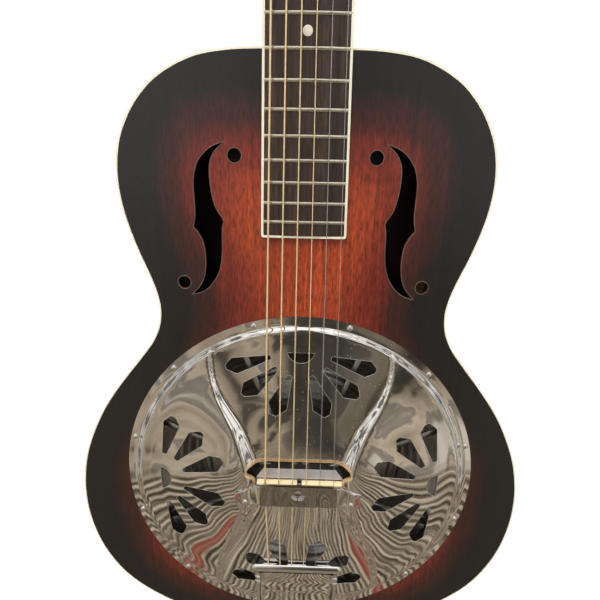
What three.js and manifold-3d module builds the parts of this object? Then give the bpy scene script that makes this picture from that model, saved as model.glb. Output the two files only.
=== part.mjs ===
// Resonator guitar, spider-bridge, round neck. Millimetres, +Z up the neck, the front faces -Y.
// Everything is drawn in a "face frame": x to the viewer's right, v up the neck,
// w out of the front, with (0, 0, 0) at the middle of the coverplate on the soundboard's top.
import * as THREE from 'three';
import { mergeVertices } from 'three/addons/utils/BufferGeometryUtils.js';
import Module from 'manifold-3d';

const wasm = await Module();
wasm.setup();

// ---- driving dimensions ----
const GAP = 0.3;
const NUT_V = 636.5;            // string length, nut to saddle
const BODY_TOP_V = 320;
const BODY_TAIL_V = -173;
const BODY_DEPTH = 83;
const TOP_T = 4;
const BACK_T = 4;
const SIDE_T = 3.5;
const BIND_W = 1.6;
const BIND_H = 6;
const LINING_W = 6;
const LINING_H = 12;
const WELL_R = 134.5;           // hole in the soundboard
const WELL_OUT_R = 140;
const WELL_LEDGE_R = 124;
const LEDGE_W = -10;
const COVER_R = 142.9;
const COVER_T = 1.4;
const FLANGE_W = 1.8;
const PAN_W = 4.2;
const CHANNEL_W = 7;
const WING_RIM_W = 6;
const WING_W = 12.5;
const NECK_END_V = BODY_TOP_V + GAP;
const BOARD_END_V = 201.5;
const BOARD_END_HW = 29.7;
const BOARD_TAPER = 0.0135;     // half-width lost per millimetre towards the nut
const BOARD_TOP = 5.8;
const BOARD_BIND = 1.6;
const NUT_T = 4.7;
const NUT_TOP = 7.2;
const HEAD_V = NUT_V + 5;
const HEAD_TILT = 13 * Math.PI / 180;
const HEAD_T = 14.5;
const POST_X = 24;
const POST_S = [42, 82, 122];
const POST_R = 3;
const POST_TOP = 9;
const GEAR_TEETH = 14;
const GEAR_TIP_R = 5;
const GEAR_ROOT_R = 3.9;
const GEAR_H = -18.8;           // middle of the gear, behind the headstock
const WORM_DROP = 7.5;
const WORM_R = 2.2;
const KEY_R = 1.6;
const SADDLE_HALF = 35;
const SADDLE_TOP = 11.5;
const SADDLE_SPLIT = 2;         // half the gap between the two saddle halves
const SPREAD_NUT = 37.4;
const SPREAD_SADDLE = 56.4;
const SPREAD_TAIL = 52;
const BRIDGE_X = 0.8;           // bridge and strings stand this far towards the treble side
const HUB_HALF_X = 36;
const HUB_HALF_V = 12.5;
const HUB_TOP = 6.8;
const STRING_R = [0.2, 0.25, 0.33, 0.43, 0.53, 0.66];   // string 1 (treble) to string 6 (bass)
const BAR_V = [-94.5, -87];
const BAR_W = [6.2, 10.7];
const BAR_HALF = 40;
const LEG_X = 34.5;
const LEG_R = 1.9;
const LEG_END = [-94.9, 8.6];    // v and w where the tailpiece legs meet the string bar
const HINGE_V = BODY_TAIL_V - 3.5;
const HINGE_W = 2.5;
const KNUCKLE_R = 2.4;
const PALM_V = [-20, 7.5];
const PALM_TOP = 22.5;
const BUTTON_W = -35;

// half-width of the body against v, from the neck joint round to the tail
const HALF_OUTLINE = [
  [320, 0], [320, 26], [318.8, 52.2], [314.5, 74.7], [303, 97.7], [291, 110.7], [278.8, 119.4],
  [262.6, 126.6], [243.1, 129.8], [223.7, 128.8], [205.5, 124.9], [187.3, 119.1], [169.9, 112.5],
  [154.9, 108.2], [144.1, 107.2], [132.4, 109], [120, 114.7], [105.2, 125.8], [86.2, 141.1],
  [64.8, 156.5], [41.8, 169], [17.4, 178.6], [-9.8, 184.2], [-38.1, 184.9], [-66.9, 180.1],
  [-89.9, 171.3], [-109.2, 159.4], [-126.6, 142.1], [-142.7, 118], [-155.9, 90.2], [-165.9, 59.5],
  [-171.6, 29.2], [-173, 0],
];
const F_HOLE = [
  [54.1, 264], [62.3, 261], [69.5, 255.5], [74.2, 248.6], [76.4, 240.4], [76.8, 231], [76.3, 219.4],
  [78.3, 207], [74, 201.1], [71.2, 193.9], [70.4, 183.7], [71.5, 173.5], [75, 165], [82, 157.4],
  [71.9, 160.8], [64.8, 167.9], [60.7, 175.6], [58.6, 185.4], [58.1, 197.2], [56.6, 211.5],
  [60.1, 217.4], [63.7, 227.4], [65.2, 238.8], [65.1, 248.1], [62.8, 255.1], [57.3, 261.3],
];
const F_DOTS = [[47.9, 255.1], [86.8, 166.7]];
const F_DOT_R = 4.9;
// one fan of the coverplate: r towards the rim, t across; three petals are mirrored in t
const PETALS = [
  [[109, 22.6], [112.5, 23.6], [109.3, 53.5], [102.8, 58.7], [99.2, 57], [96, 49.4]],
  [[100.4, 16.8], [103.4, 19.6], [88.9, 44.7], [79.5, 46.6], [76.9, 43.8], [78.4, 33.6]],
  [[95.6, 6.4], [96.5, 10.2], [73.2, 25.1], [63.6, 24], [60.7, 19.3], [66.8, 10.2]],
];
const HALF_DISC = [[114.8, -10.6], [114.8, 10.6], [110.5, 8.3], [107.2, 4.5], [106.2, 0],
  [107.2, -4.5], [110.5, -8.3]];
const OPENING = [[28.5, 22.8], [39.3, 20], [43.3, 14.8], [44.6, 7.8], [37.2, 2.5], [37.2, -13], [30, -16]];
// right half of the palm rest seen from the front: a bridge that widens into two feet
const PALM_PLAN = [[29, 7.5], [35, 4], [44, -5], [52, -8], [52, -20], [42, -20], [33, -13]];
// upper edge of the wall between the string channel and the right wing
const CHANNEL = [[71.5, 150], [71.5, 104], [70.5, 92], [67, 74.5], [60, 59], [53.5, 44], [45, 16], [42, 0]];

// ---- materials ----
function mat(color, roughness, metalness) {
  return new THREE.MeshStandardMaterial({ color, roughness, metalness });
}
const MAHOGANY = mat(0x5e1f16, 0.45, 0);
const DARK_WOOD = mat(0x2a1712, 0.5, 0);
const NECK_WOOD = mat(0x3c1c14, 0.45, 0);
const RAW_WOOD = mat(0xb08a5e, 0.7, 0);
const CREAM = mat(0xeee2c0, 0.4, 0);
const ROSEWOOD = mat(0x3d2b24, 0.6, 0);
const CHROME = mat(0xc9c4ba, 0.08, 1);
const ALLOY = mat(0xa8a9a8, 0.4, 1);
const BONE = mat(0xf0e4bd, 0.45, 0);
const STEEL = mat(0x9a9a98, 0.35, 1);
const BRONZE = mat(0xb98a4a, 0.35, 1);
const BLACK = mat(0x161514, 0.4, 0);
const BRASS = mat(0xb59a5a, 0.35, 1);

// ---- helpers ----
function solid(geometry) {
  const g = geometry.index ? geometry.toNonIndexed() : geometry.clone();
  g.deleteAttribute('normal');
  g.deleteAttribute('uv');
  const m = mergeVertices(g, 1e-4);
  return new wasm.Manifold(new wasm.Mesh({
    numProp: 3,
    vertProperties: new Float32Array(m.attributes.position.array),
    triVerts: new Uint32Array(m.index.array),
  }));
}
function toGeometry(body) {
  const mesh = body.getMesh();
  const g = new THREE.BufferGeometry();
  const step = mesh.numProp;
  const count = mesh.vertProperties.length / step;
  const pos = new Float32Array(count * 3);
  for (let i = 0; i < count; i++) {
    for (let k = 0; k < 3; k++) {
      pos[i * 3 + k] = mesh.vertProperties[i * step + k];
    }
  }
  g.setAttribute('position', new THREE.BufferAttribute(pos, 3));
  g.setIndex(new THREE.BufferAttribute(new Uint32Array(mesh.triVerts), 1));
  g.computeVertexNormals();
  return g;
}
function union(parts) {
  return parts.slice(1).reduce((a, b) => a.add(b), parts[0]);
}
function points(list) {
  return list.map(([x, y]) => new THREE.Vector2(x, y));
}
function ring(r, n) {
  return Array.from({ length: n }, (_, i) => {
    const a = 2 * Math.PI * i / n;
    return [r * Math.cos(a), r * Math.sin(a)];
  });
}
function mirrored(list) {
  return list.map(([x, y]) => [-x, y]).reverse();
}
// plate drawn in (x, v), between two heights in w
function plate(outline, w0, w1, holes = []) {
  const shape = new THREE.Shape(points(outline));
  shape.holes = holes.map((h) => new THREE.Path(points(h)));
  const g = new THREE.ExtrudeGeometry(shape, { depth: w1 - w0, bevelEnabled: false });
  return g.translate(0, 0, w0);
}
function box(x0, x1, v0, v1, w0, w1) {
  const g = new THREE.BoxGeometry(x1 - x0, v1 - v0, w1 - w0);
  return g.translate((x0 + x1) / 2, (v0 + v1) / 2, (w0 + w1) / 2);
}
// turned part about the w axis, profile in (r, w)
function turned(profile, segments) {
  const g = new THREE.LatheGeometry(points(profile), segments);
  return g.rotateX(Math.PI / 2);
}
// round rod between two points
function rod(a, b, radius, segments) {
  const from = new THREE.Vector3(...a);
  const to = new THREE.Vector3(...b);
  const length = from.distanceTo(to);
  const g = new THREE.CylinderGeometry(radius, radius, length, segments);
  const turn = new THREE.Quaternion().setFromUnitVectors(
    new THREE.Vector3(0, 1, 0), to.clone().sub(from).normalize());
  g.applyQuaternion(turn);
  const mid = from.add(to).multiplyScalar(0.5);
  return g.translate(mid.x, mid.y, mid.z);
}
function headMatrix() {
  return new THREE.Matrix4().makeTranslation(0, HEAD_V, 0)
    .multiply(new THREE.Matrix4().makeRotationX(-HEAD_TILT));
}
function boardHalf(v) {
  return BOARD_END_HW - BOARD_TAPER * (v - BOARD_END_V);
}

// body outline moved inwards by d: right side down, left side up
function insetHalf(d) {
  const half = HALF_OUTLINE;
  return half.map(([v, x], i) => {
    const before = i > 0 ? half[i - 1] : [half[1][0], -half[1][1]];
    const after = i < half.length - 1 ? half[i + 1] : [half[i - 1][0], -half[i - 1][1]];
    const tx = after[1] - before[1];
    const tv = after[0] - before[0];
    const len = Math.hypot(tx, tv);
    return [Math.max(0, x + d * tv / len), v - d * tx / len];
  });
}
function bodyOutline(d) {
  const half = insetHalf(d);
  const inner = half.slice(1, -1);
  return [half[0], ...inner, half[half.length - 1], ...mirrored(inner)].reverse();
}

// ---- body ----
function makeSoundboard() {
  const holes = [ring(WELL_R, 44), F_HOLE, mirrored(F_HOLE)];
  for (const [x, v] of F_DOTS) {
    for (const sign of [-1, 1]) {
      holes.push(ring(F_DOT_R, 12).map(([a, b]) => [a + sign * x, b + v]));
    }
  }
  return plate(bodyOutline(BIND_W + GAP), -TOP_T, 0, holes);
}
function makeBack() {
  return plate(bodyOutline(BIND_W + GAP), -BODY_DEPTH, -BODY_DEPTH + BACK_T);
}
function makeSide(sign) {
  const outer = insetHalf(0);
  const inner = insetHalf(SIDE_T);
  const seam = GAP / 2;
  const loop = [...outer, ...inner.reverse()].map(([x, v]) => [Math.max(x, seam), v]);
  const shape = sign > 0 ? loop.reverse() : loop.map(([x, v]) => [-x, v]);
  return plate(shape, -BODY_DEPTH + BIND_H + GAP, -BIND_H - GAP);
}
function makeBinding(w0) {
  return plate(bodyOutline(0), w0, w0 + BIND_H, [bodyOutline(BIND_W)]);
}
function makeLining(w0) {
  const out = SIDE_T + GAP;
  return plate(bodyOutline(out), w0, w0 + LINING_H, [bodyOutline(out + LINING_W)]);
}
const LINING_TOP_W = -TOP_T - GAP - LINING_H;
const LINING_BACK_W = -BODY_DEPTH + BACK_T + GAP;
function makeBlock(x, v0, v1) {
  const w0 = -BODY_DEPTH + BACK_T + GAP;
  const w1 = -TOP_T - GAP;
  const out = LINING_W + SIDE_T + 2 * GAP;
  const raw = solid(plate(bodyOutline(SIDE_T + GAP), w0, w1)).intersect(solid(box(-x, x, v0, v1, w0, w1)));
  const room = solid(plate(bodyOutline(SIDE_T - 1), w0 - 1, w0 + LINING_H + GAP, [bodyOutline(out)]))
    .add(solid(plate(bodyOutline(SIDE_T - 1), w1 - LINING_H - GAP, w1 + 1, [bodyOutline(out)])));
  return toGeometry(raw.subtract(room));
}
function makeSoundwell() {
  const floor = -BODY_DEPTH + BACK_T + GAP;
  const wall = solid(turned([[WELL_LEDGE_R + 2, floor], [WELL_OUT_R, floor], [WELL_OUT_R, -TOP_T - GAP],
    [WELL_R, -TOP_T - GAP], [WELL_R, LEDGE_W], [WELL_LEDGE_R + 2, LEDGE_W],
    [WELL_LEDGE_R + 2, floor]], 32));
  const port = new THREE.CylinderGeometry(19, 19, 2 * WELL_OUT_R + 20, 8).rotateZ(Math.PI / 2)
    .translate(0, 0, -46);
  const ports = [22.5, 67.5, 112.5, 157.5].map((deg) => solid(port.clone().rotateZ(deg * Math.PI / 180)));
  return toGeometry(wall.subtract(union(ports)));
}

// ---- resonator ----
function makeCone() {
  return turned([[133.5, -9.6], [133.5, -8.5], [126.5, -8.5], [88, -32.8], [20, -20.8], [4, -19],
    [4, -20.2], [20, -22], [88, -34], [126, -9.6], [133.5, -9.6]], 32);
}
function makeSpider() {
  const corner = [[HUB_HALF_X, HUB_HALF_V - 8], [HUB_HALF_X - 6, HUB_HALF_V]];
  const right = [[HUB_HALF_X - 6, -HUB_HALF_V], [HUB_HALF_X, 8 - HUB_HALF_V], ...corner];
  const parts = [solid(plate([...right, ...mirrored(right)], -2, HUB_TOP))];
  const side = [[3, -3], [3, 1.5], [60, 0.5], [126, -4.5], [130, -5], [130, -8.1], [123, -8.1], [60, -4]];
  for (let i = 0; i < 8; i++) {
    const leg = new THREE.ExtrudeGeometry(new THREE.Shape(points(side)), { depth: 6, bevelEnabled: false });
    leg.translate(0, 0, -3).rotateX(Math.PI / 2).rotateZ((22.5 + 45 * i) * Math.PI / 180);
    parts.push(solid(leg));
  }
  const slot = solid(box(-SADDLE_HALF - GAP, SADDLE_HALF + GAP, -1.8, 1.8, 3, HUB_TOP + 1));
  const bore = solid(turned([[0, -6], [1.9, -6], [1.9, -0.1], [2.5, -0.1], [2.5, 10], [0, 10]], 12));
  return toGeometry(union(parts).subtract(slot).subtract(bore));
}
function makeSaddle(sign) {
  const x0 = sign > 0 ? SADDLE_SPLIT : -SADDLE_HALF;
  return box(x0, x0 + SADDLE_HALF - SADDLE_SPLIT, -1.5, 1.5, 3.3, SADDLE_TOP);
}
function makeTensionScrew() {
  return turned([[0, -25], [1.6, -25], [1.6, 0.2], [2.2, 0.2], [2.2, 3], [0, 3]], 12);
}
function fanOutline(list, quarter) {
  const c = Math.round(Math.cos(quarter * Math.PI / 2));
  const s = Math.round(Math.sin(quarter * Math.PI / 2));
  return list.map(([r, t]) => [c * r - s * t, s * r + c * t]);
}
function coverCutters() {
  const cuts = [[...OPENING, ...mirrored(OPENING)]];
  for (let quarter = 0; quarter < 4; quarter++) {
    cuts.push(fanOutline(HALF_DISC, quarter));
    for (const petal of PETALS) {
      cuts.push(fanOutline(petal, quarter));
      cuts.push(fanOutline(petal.map(([r, t]) => [r, -t]), quarter));
    }
  }
  const shapes = cuts.map((c) => new THREE.Shape(points(c)));
  const g = new THREE.ExtrudeGeometry(shapes, { depth: 40, bevelEnabled: false });
  return solid(g.translate(0, 0, -10));
}
function domed(rimW, midR, midW) {
  const low = -5;
  const step = 133.5;
  return solid(turned([[0, low], [COVER_R, low], [COVER_R, FLANGE_W], [step, FLANGE_W],
    [127, rimW], [midR, midW], [0, midW]], 40));
}
function channelPrism() {
  const low = 2;
  const high = 16;
  const half = [...CHANNEL, ...CHANNEL.slice(0, -1).reverse().map(([x, v]) => [x, -v])];
  const loop = [...half, ...mirrored(half)];
  const g = new THREE.ExtrudeGeometry(new THREE.Shape(points(loop)), { depth: high - low, bevelEnabled: false });
  g.translate(0, 0, low);
  const pos = g.attributes.position;
  for (let i = 0; i < pos.count; i++) {
    const v = Math.abs(pos.getY(i));
    const drawIn = THREE.MathUtils.clamp(THREE.MathUtils.mapLinear(v, 50, 92, 12, 4), 4, 12);
    if (pos.getZ(i) < low + 1) {
      pos.setX(i, pos.getX(i) - Math.sign(pos.getX(i)) * drawIn);
    }
  }
  return solid(g);
}
function makeCoverplate() {
  const raised = domed(WING_RIM_W, 48, WING_W).subtract(channelPrism());
  const filled = raised.add(domed(PAN_W, 40, CHANNEL_W));
  const sheet = filled.subtract(filled.translate(0, 0, -COVER_T));
  const far = COVER_R + 1;
  const keep = solid(box(-far, far, -far, far, GAP, 30));
  return toGeometry(sheet.intersect(keep).subtract(coverCutters()));
}
function makePalmRest() {
  const foot = WING_W + GAP;
  const right = [[29.5, PALM_TOP], [42, foot + 1.3], [52, foot + 1.3], [52, foot], [41.2, foot],
    [29, PALM_TOP - 1.3]];
  const shape = new THREE.Shape(points([...right, ...mirrored(right)].reverse()));
  const g = new THREE.ExtrudeGeometry(shape, { depth: PALM_V[1] - PALM_V[0], bevelEnabled: false });
  g.rotateX(Math.PI / 2).translate(0, PALM_V[1], 0);
  const plan = plate([...PALM_PLAN, ...mirrored(PALM_PLAN)].reverse(), 0, PALM_TOP + 1);
  return toGeometry(solid(g).intersect(solid(plan)));
}

// ---- neck ----
function neckShaft() {
  const depth = 15;
  const half = boardHalf(NECK_END_V);
  const section = Array.from({ length: 13 }, (_, i) => {
    const a = Math.PI * i / 12;
    return [half * Math.cos(a), depth * Math.sin(a)];
  });
  const length = HEAD_V - NECK_END_V;
  const g = new THREE.ExtrudeGeometry(new THREE.Shape(points(section)),
    { depth: length, steps: 3, bevelEnabled: false });
  g.rotateX(-Math.PI / 2).translate(0, NECK_END_V, 0);
  const pos = g.attributes.position;
  for (let i = 0; i < pos.count; i++) {
    const v = pos.getY(i);
    pos.setX(i, pos.getX(i) * boardHalf(v) / half);
    pos.setZ(i, pos.getZ(i) * (1 + 0.15 * (NUT_V - v) / length));
  }
  return solid(g);
}
function heel() {
  const v0 = NECK_END_V;
  const side = [[v0, -1], [v0, -68], [v0 + 9, -68], [v0 + 14, -52], [v0 + 24, -33], [v0 + 42, -19],
    [v0 + 60, -12], [v0 + 60, -1]];
  const g = new THREE.ExtrudeGeometry(new THREE.Shape(points(side)), { depth: 2, bevelEnabled: false });
  const pos = g.attributes.position;
  for (let i = 0; i < pos.count; i++) {
    const v = pos.getX(i);
    const w = pos.getY(i);
    const half = THREE.MathUtils.mapLinear(w, -68, -1, 11, 24);
    pos.setXYZ(i, (pos.getZ(i) - 1) * half, v, w);
  }
  return solid(g);
}
const HEAD_HALF = [[-6, 23.3], [6, 23.8], [16, 28.4], [27, 34.8], [38, 37.5], [150, 40.5], [166, 38],
  [174, 28], [178, 12]];
function headstock() {
  const right = HEAD_HALF.map(([s, x]) => [x, s]);
  const holes = [];
  for (const s of POST_S) {
    holes.push(ring(POST_R + 0.6, 12).map(([a, b]) => [a + POST_X, b + s]));
    holes.push(ring(POST_R + 0.6, 12).map(([a, b]) => [a - POST_X, b + s]));
  }
  const g = plate([...right, ...mirrored(right)], -HEAD_T, -0.05, holes);
  return solid(g.applyMatrix4(headMatrix()));
}
function makeNeck() {
  const slot = solid(box(-3.2, 3.2, 322, 636, -9.5, 1));
  const above = solid(box(-60, 60, HEAD_V - 40, HEAD_V + 0.6, 0, 40));
  return toGeometry(union([neckShaft(), heel(), headstock()]).subtract(slot).subtract(above));
}
function boardLoop(inset, endV, rounding) {
  const v1 = NUT_V - GAP;
  const x0 = boardHalf(endV) - inset;
  const x1 = boardHalf(v1) - inset;
  return [[x0 - rounding, endV], [x0, endV + rounding], [x1, v1], [-x1, v1], [-x0, endV + rounding],
    [-x0 + rounding, endV]];
}
function makeFingerboard() {
  return plate(boardLoop(BOARD_BIND + GAP, BOARD_END_V + BOARD_BIND + GAP, 3), GAP, BOARD_TOP);
}
function makeFingerboardBinding() {
  const outer = boardLoop(0, BOARD_END_V, 4);
  const inner = boardLoop(BOARD_BIND, BOARD_END_V + BOARD_BIND, 3);
  const order = [3, 4, 5, 0, 1, 2];
  const loop = [...order.map((k) => outer[k]), ...order.map((k) => inner[k]).reverse()];
  return plate(loop, GAP, BOARD_TOP);
}
function makeNut() {
  const half = boardHalf(NUT_V) - 0.2;
  return box(-half, half, NUT_V, NUT_V + NUT_T, GAP, NUT_TOP);
}
function makeTrussRod() {
  return box(-2.9, 2.9, 325, 634, -9.2, -GAP);
}
function makeTrussRodCover() {
  return plate([[10, 4], [11.5, 14], [7, 34], [0, 42], [-7, 34], [-11.5, 14], [-10, 4]], GAP, 2.2);
}

// ---- tuners, in the headstock's own frame (x, s along it, h out of its face) ----
const PLATE_H = -HEAD_T - GAP;
const LUGS = [[13.5, 15], [36.6, 38.1]];
function sided(sign, x0, x1, ...rest) {
  return sign > 0 ? box(x0, x1, ...rest) : box(-x1, -x0, ...rest);
}
function makeTunerPlate(sign) {
  const s0 = POST_S[0] - 14;
  const s1 = POST_S[2] + 12;
  let body = solid(sided(sign, 12, 39, s0, s1, PLATE_H - 1.2, PLATE_H));
  for (const s of POST_S) {
    const axis = s - WORM_DROP;
    for (const [x0, x1] of LUGS) {
      const lug = solid(sided(sign, x0, x1, axis - 3.2, axis + 3.2, GEAR_H - 3.2, PLATE_H - 1));
      const from = [sign * (x0 - 1), axis, GEAR_H];
      const to = [sign * (x1 + 1), axis, GEAR_H];
      body = body.add(lug).subtract(solid(rod(from, to, KEY_R + 0.4, 10)));
    }
    const x = sign * POST_X;
    body = body.subtract(solid(rod([x, s, PLATE_H - 2], [x, s, PLATE_H + 1], POST_R + 0.5, 12)));
  }
  return toGeometry(body);
}
function gearOutline() {
  return Array.from({ length: 2 * GEAR_TEETH }, (_, i) => {
    const a = Math.PI * i / GEAR_TEETH;
    const r = i % 2 ? GEAR_TIP_R : GEAR_ROOT_R;
    return [r * Math.cos(a), r * Math.sin(a)];
  });
}
function makePost() {
  const shaft = solid(rod([0, 0, GEAR_H - 2.6], [0, 0, POST_TOP], POST_R, 10));
  const gear = solid(plate(gearOutline(), GEAR_H - 1.8, GEAR_H + 1.8));
  return toGeometry(shaft.add(gear));
}
function makeKey() {
  const long = new THREE.LatheGeometry(points([[0, 13], [KEY_R, 13], [KEY_R, 17.6], [WORM_R, 17.6],
    [WORM_R, 30.4], [KEY_R, 30.4], [KEY_R, 46], [0, 46]]), 10);
  return long.rotateZ(-Math.PI / 2);
}
function makeButton() {
  const side = [[46.3, -2.6], [48.5, -3], [50.5, -8], [56, -9.5], [61.5, -8], [64, 0]];
  const loop = [...side, ...side.slice(0, -1).reverse().map(([x, y]) => [x, -y])];
  const g = new THREE.ExtrudeGeometry(new THREE.Shape(points(loop)),
    { depth: 4, bevelEnabled: true, bevelThickness: 1.2, bevelSize: 0, bevelOffset: 0, bevelSegments: 1 });
  return g.translate(0, 0, -2);
}

// ---- strings and tailpiece ----
function stringX(i, spread) {
  return BRIDGE_X + spread / 2 - spread * i / 5;
}
function postPoint(i) {
  const sign = i < 3 ? 1 : -1;
  const s = POST_S[i < 3 ? i : 5 - i];
  return new THREE.Vector3(sign * (POST_X - POST_R - GAP - STRING_R[i]), s, 5).applyMatrix4(headMatrix());
}
function makeString(i) {
  const r = STRING_R[i];
  const start = postPoint(i);
  const nut = [stringX(i, SPREAD_NUT), NUT_V + NUT_T + 0.2, NUT_TOP + GAP + r];
  const saddle = [stringX(i, SPREAD_SADDLE), -0.8, SADDLE_TOP + GAP + r];
  const head = solid(rod([start.x, start.y, start.z], nut, r, 6));
  const main = solid(rod([nut[0], nut[1] + 0.3, nut[2]], saddle, r, 6));
  return toGeometry(head.add(main));
}
function makeStringTail(i) {
  const r = STRING_R[i];
  return rod([stringX(i, SPREAD_SADDLE), -1.9, SADDLE_TOP + GAP + r],
    [stringX(i, SPREAD_TAIL), BAR_V[1] + GAP, 8.6], r, 6);
}
function makeTailpieceBar() {
  const c = 2.5;
  const [v0, v1] = BAR_V;
  const loop = [[-BAR_HALF, v0 + c], [-BAR_HALF + c, v0], [BAR_HALF - c, v0], [BAR_HALF, v0 + c],
    [BAR_HALF, v1 - c], [BAR_HALF - c, v1], [-BAR_HALF + c, v1], [-BAR_HALF, v1 - c]];
  return plate(loop, BAR_W[0], BAR_W[1]);
}
function makeTailpieceFrame() {
  const [endV, endW] = LEG_END;
  const slope = Math.atan2(endW - HINGE_W, endV - HINGE_V);
  const webV = -127.5;
  const web = new THREE.BoxGeometry(2 * LEG_X, 63, 1.2).rotateX(slope)
    .translate(0, webV, HINGE_W + (webV - HINGE_V) * Math.tan(slope));
  const parts = [solid(web)];
  for (const sign of [-1, 1]) {
    const x = sign * LEG_X;
    parts.push(solid(rod([x, HINGE_V, HINGE_W], [x, endV, endW], LEG_R, 10)));
    parts.push(solid(rod([x, -108, 7.62], [x, -99, 8.3], 2.9, 6)));
    const sleeve = solid(rod([sign * 9.4, HINGE_V, HINGE_W], [sign * 37, HINGE_V, HINGE_W], KNUCKLE_R, 12));
    const bore = solid(rod([sign * 9, HINGE_V, HINGE_W], [sign * 16, HINGE_V, HINGE_W], 1.35, 10));
    parts.push(sleeve.subtract(bore));
  }
  return toGeometry(union(parts));
}
function makeHingeBracket() {
  const v0 = BODY_TAIL_V - 2.4;
  const v1 = BODY_TAIL_V - 0.4;
  const back = solid(box(-9, 9, v0, v1, -4, HINGE_W));
  const strap = solid(box(-20, 20, v0, v1, -54, -1.2));
  const knuckle = solid(rod([-9, HINGE_V, HINGE_W], [9, HINGE_V, HINGE_W], KNUCKLE_R, 12));
  const pin = solid(rod([-15.6, HINGE_V, HINGE_W], [15.6, HINGE_V, HINGE_W], 1, 10));
  const bore = solid(rod([0, v0 - 1, BUTTON_W], [0, v1 + 1, BUTTON_W], 4.5, 12));
  return toGeometry(union([back, strap, knuckle, pin]).subtract(bore));
}
function makeEndButton() {
  const g = new THREE.LatheGeometry(points([[0, -17], [8, -17], [10.5, -14], [10.5, -11.5],
    [6, -7.5], [6.5, -2.8], [4, -2.8], [4, -0.5], [0, -0.5]]), 16);
  return g.translate(0, BODY_TAIL_V, BUTTON_W);
}

// ---- assembly ----
const guitar = new THREE.Group();
const face = new THREE.Group();
face.rotation.x = Math.PI / 2;
face.position.z = -NUT_V;
const head = new THREE.Group();
head.position.y = HEAD_V;
head.rotation.x = -HEAD_TILT;
guitar.add(face);
face.add(head);

function put(parent, name, geometry, material, place = [0, 0, 0]) {
  const mesh = new THREE.Mesh(geometry, material.clone());
  mesh.name = name;
  mesh.position.set(...place);
  parent.add(mesh);
  return mesh;
}

put(face, 'soundboard', makeSoundboard(), MAHOGANY);
put(face, 'back', makeBack(), DARK_WOOD);
put(face, 'side_bass', makeSide(-1), DARK_WOOD);
put(face, 'side_treble', makeSide(1), DARK_WOOD);
put(face, 'top_binding', makeBinding(-BIND_H), CREAM);
put(face, 'back_binding', makeBinding(-BODY_DEPTH), CREAM);
put(face, 'top_lining', makeLining(LINING_TOP_W), RAW_WOOD);
put(face, 'back_lining', makeLining(LINING_BACK_W), RAW_WOOD);
put(face, 'neck_block', makeBlock(32, 262, 330), RAW_WOOD);
put(face, 'tail_block', makeBlock(40, -180, -143), RAW_WOOD);
put(face, 'soundwell', makeSoundwell(), RAW_WOOD);
put(face, 'cone', makeCone(), ALLOY);
put(face, 'spider', makeSpider(), ALLOY, [BRIDGE_X, 0, 0]);
put(face, 'saddle_bass', makeSaddle(-1), BONE, [BRIDGE_X, 0, 0]);
put(face, 'saddle_treble', makeSaddle(1), BONE, [BRIDGE_X, 0, 0]);
put(face, 'tension_screw', makeTensionScrew(), STEEL, [BRIDGE_X, 0, 0]);
put(face, 'coverplate', makeCoverplate(), CHROME);
put(face, 'palm_rest', makePalmRest(), CHROME);
put(face, 'neck', makeNeck(), NECK_WOOD);
put(face, 'fingerboard', makeFingerboard(), ROSEWOOD);
put(face, 'fingerboard_binding', makeFingerboardBinding(), CREAM);
put(face, 'nut', makeNut(), BONE);
put(face, 'truss_rod', makeTrussRod(), STEEL);
put(head, 'truss_rod_cover', makeTrussRodCover(), BLACK);
put(face, 'end_button', makeEndButton(), BLACK);
put(face, 'hinge_bracket', makeHingeBracket(), CHROME);
put(face, 'tailpiece_frame', makeTailpieceFrame(), CHROME);
put(face, 'tailpiece_bar', makeTailpieceBar(), CHROME);
put(head, 'tuner_plate_treble', makeTunerPlate(1), CHROME);
put(head, 'tuner_plate_bass', makeTunerPlate(-1), CHROME);

const POST = makePost();
const KEY = makeKey();
const BUTTON = makeButton();
for (let i = 0; i < 6; i++) {
  const sign = i < 3 ? 1 : -1;
  const s = POST_S[i < 3 ? i : 5 - i];
  const number = i + 1;
  const axis = [0, s - WORM_DROP, GEAR_H];
  put(face, `string_${number}`, makeString(i), i < 2 ? STEEL : BRONZE);
  put(face, `string_tail_${number}`, makeStringTail(i), i < 2 ? STEEL : BRONZE);
  put(head, `string_post_${number}`, POST.clone(), BRASS, [sign * POST_X, s, 0]);
  const turn = sign > 0 ? 0 : Math.PI;
  put(head, `key_shaft_${number}`, KEY.clone(), STEEL, axis).rotation.z = turn;
  put(head, `tuner_button_${number}`, BUTTON.clone(), CHROME, axis).rotation.z = turn;
}

export default guitar;
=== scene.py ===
# Resonator guitar: the looks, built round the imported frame. Metres; shapes are drawn in millimetres
# in a face frame (x to the right, v up the neck, w out of the front) and placed by one matrix.
import math

import bmesh
import bpy
from mathutils import Matrix, Vector
from mathutils.geometry import delaunay_2d_cdt, tessellate_polygon


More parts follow.
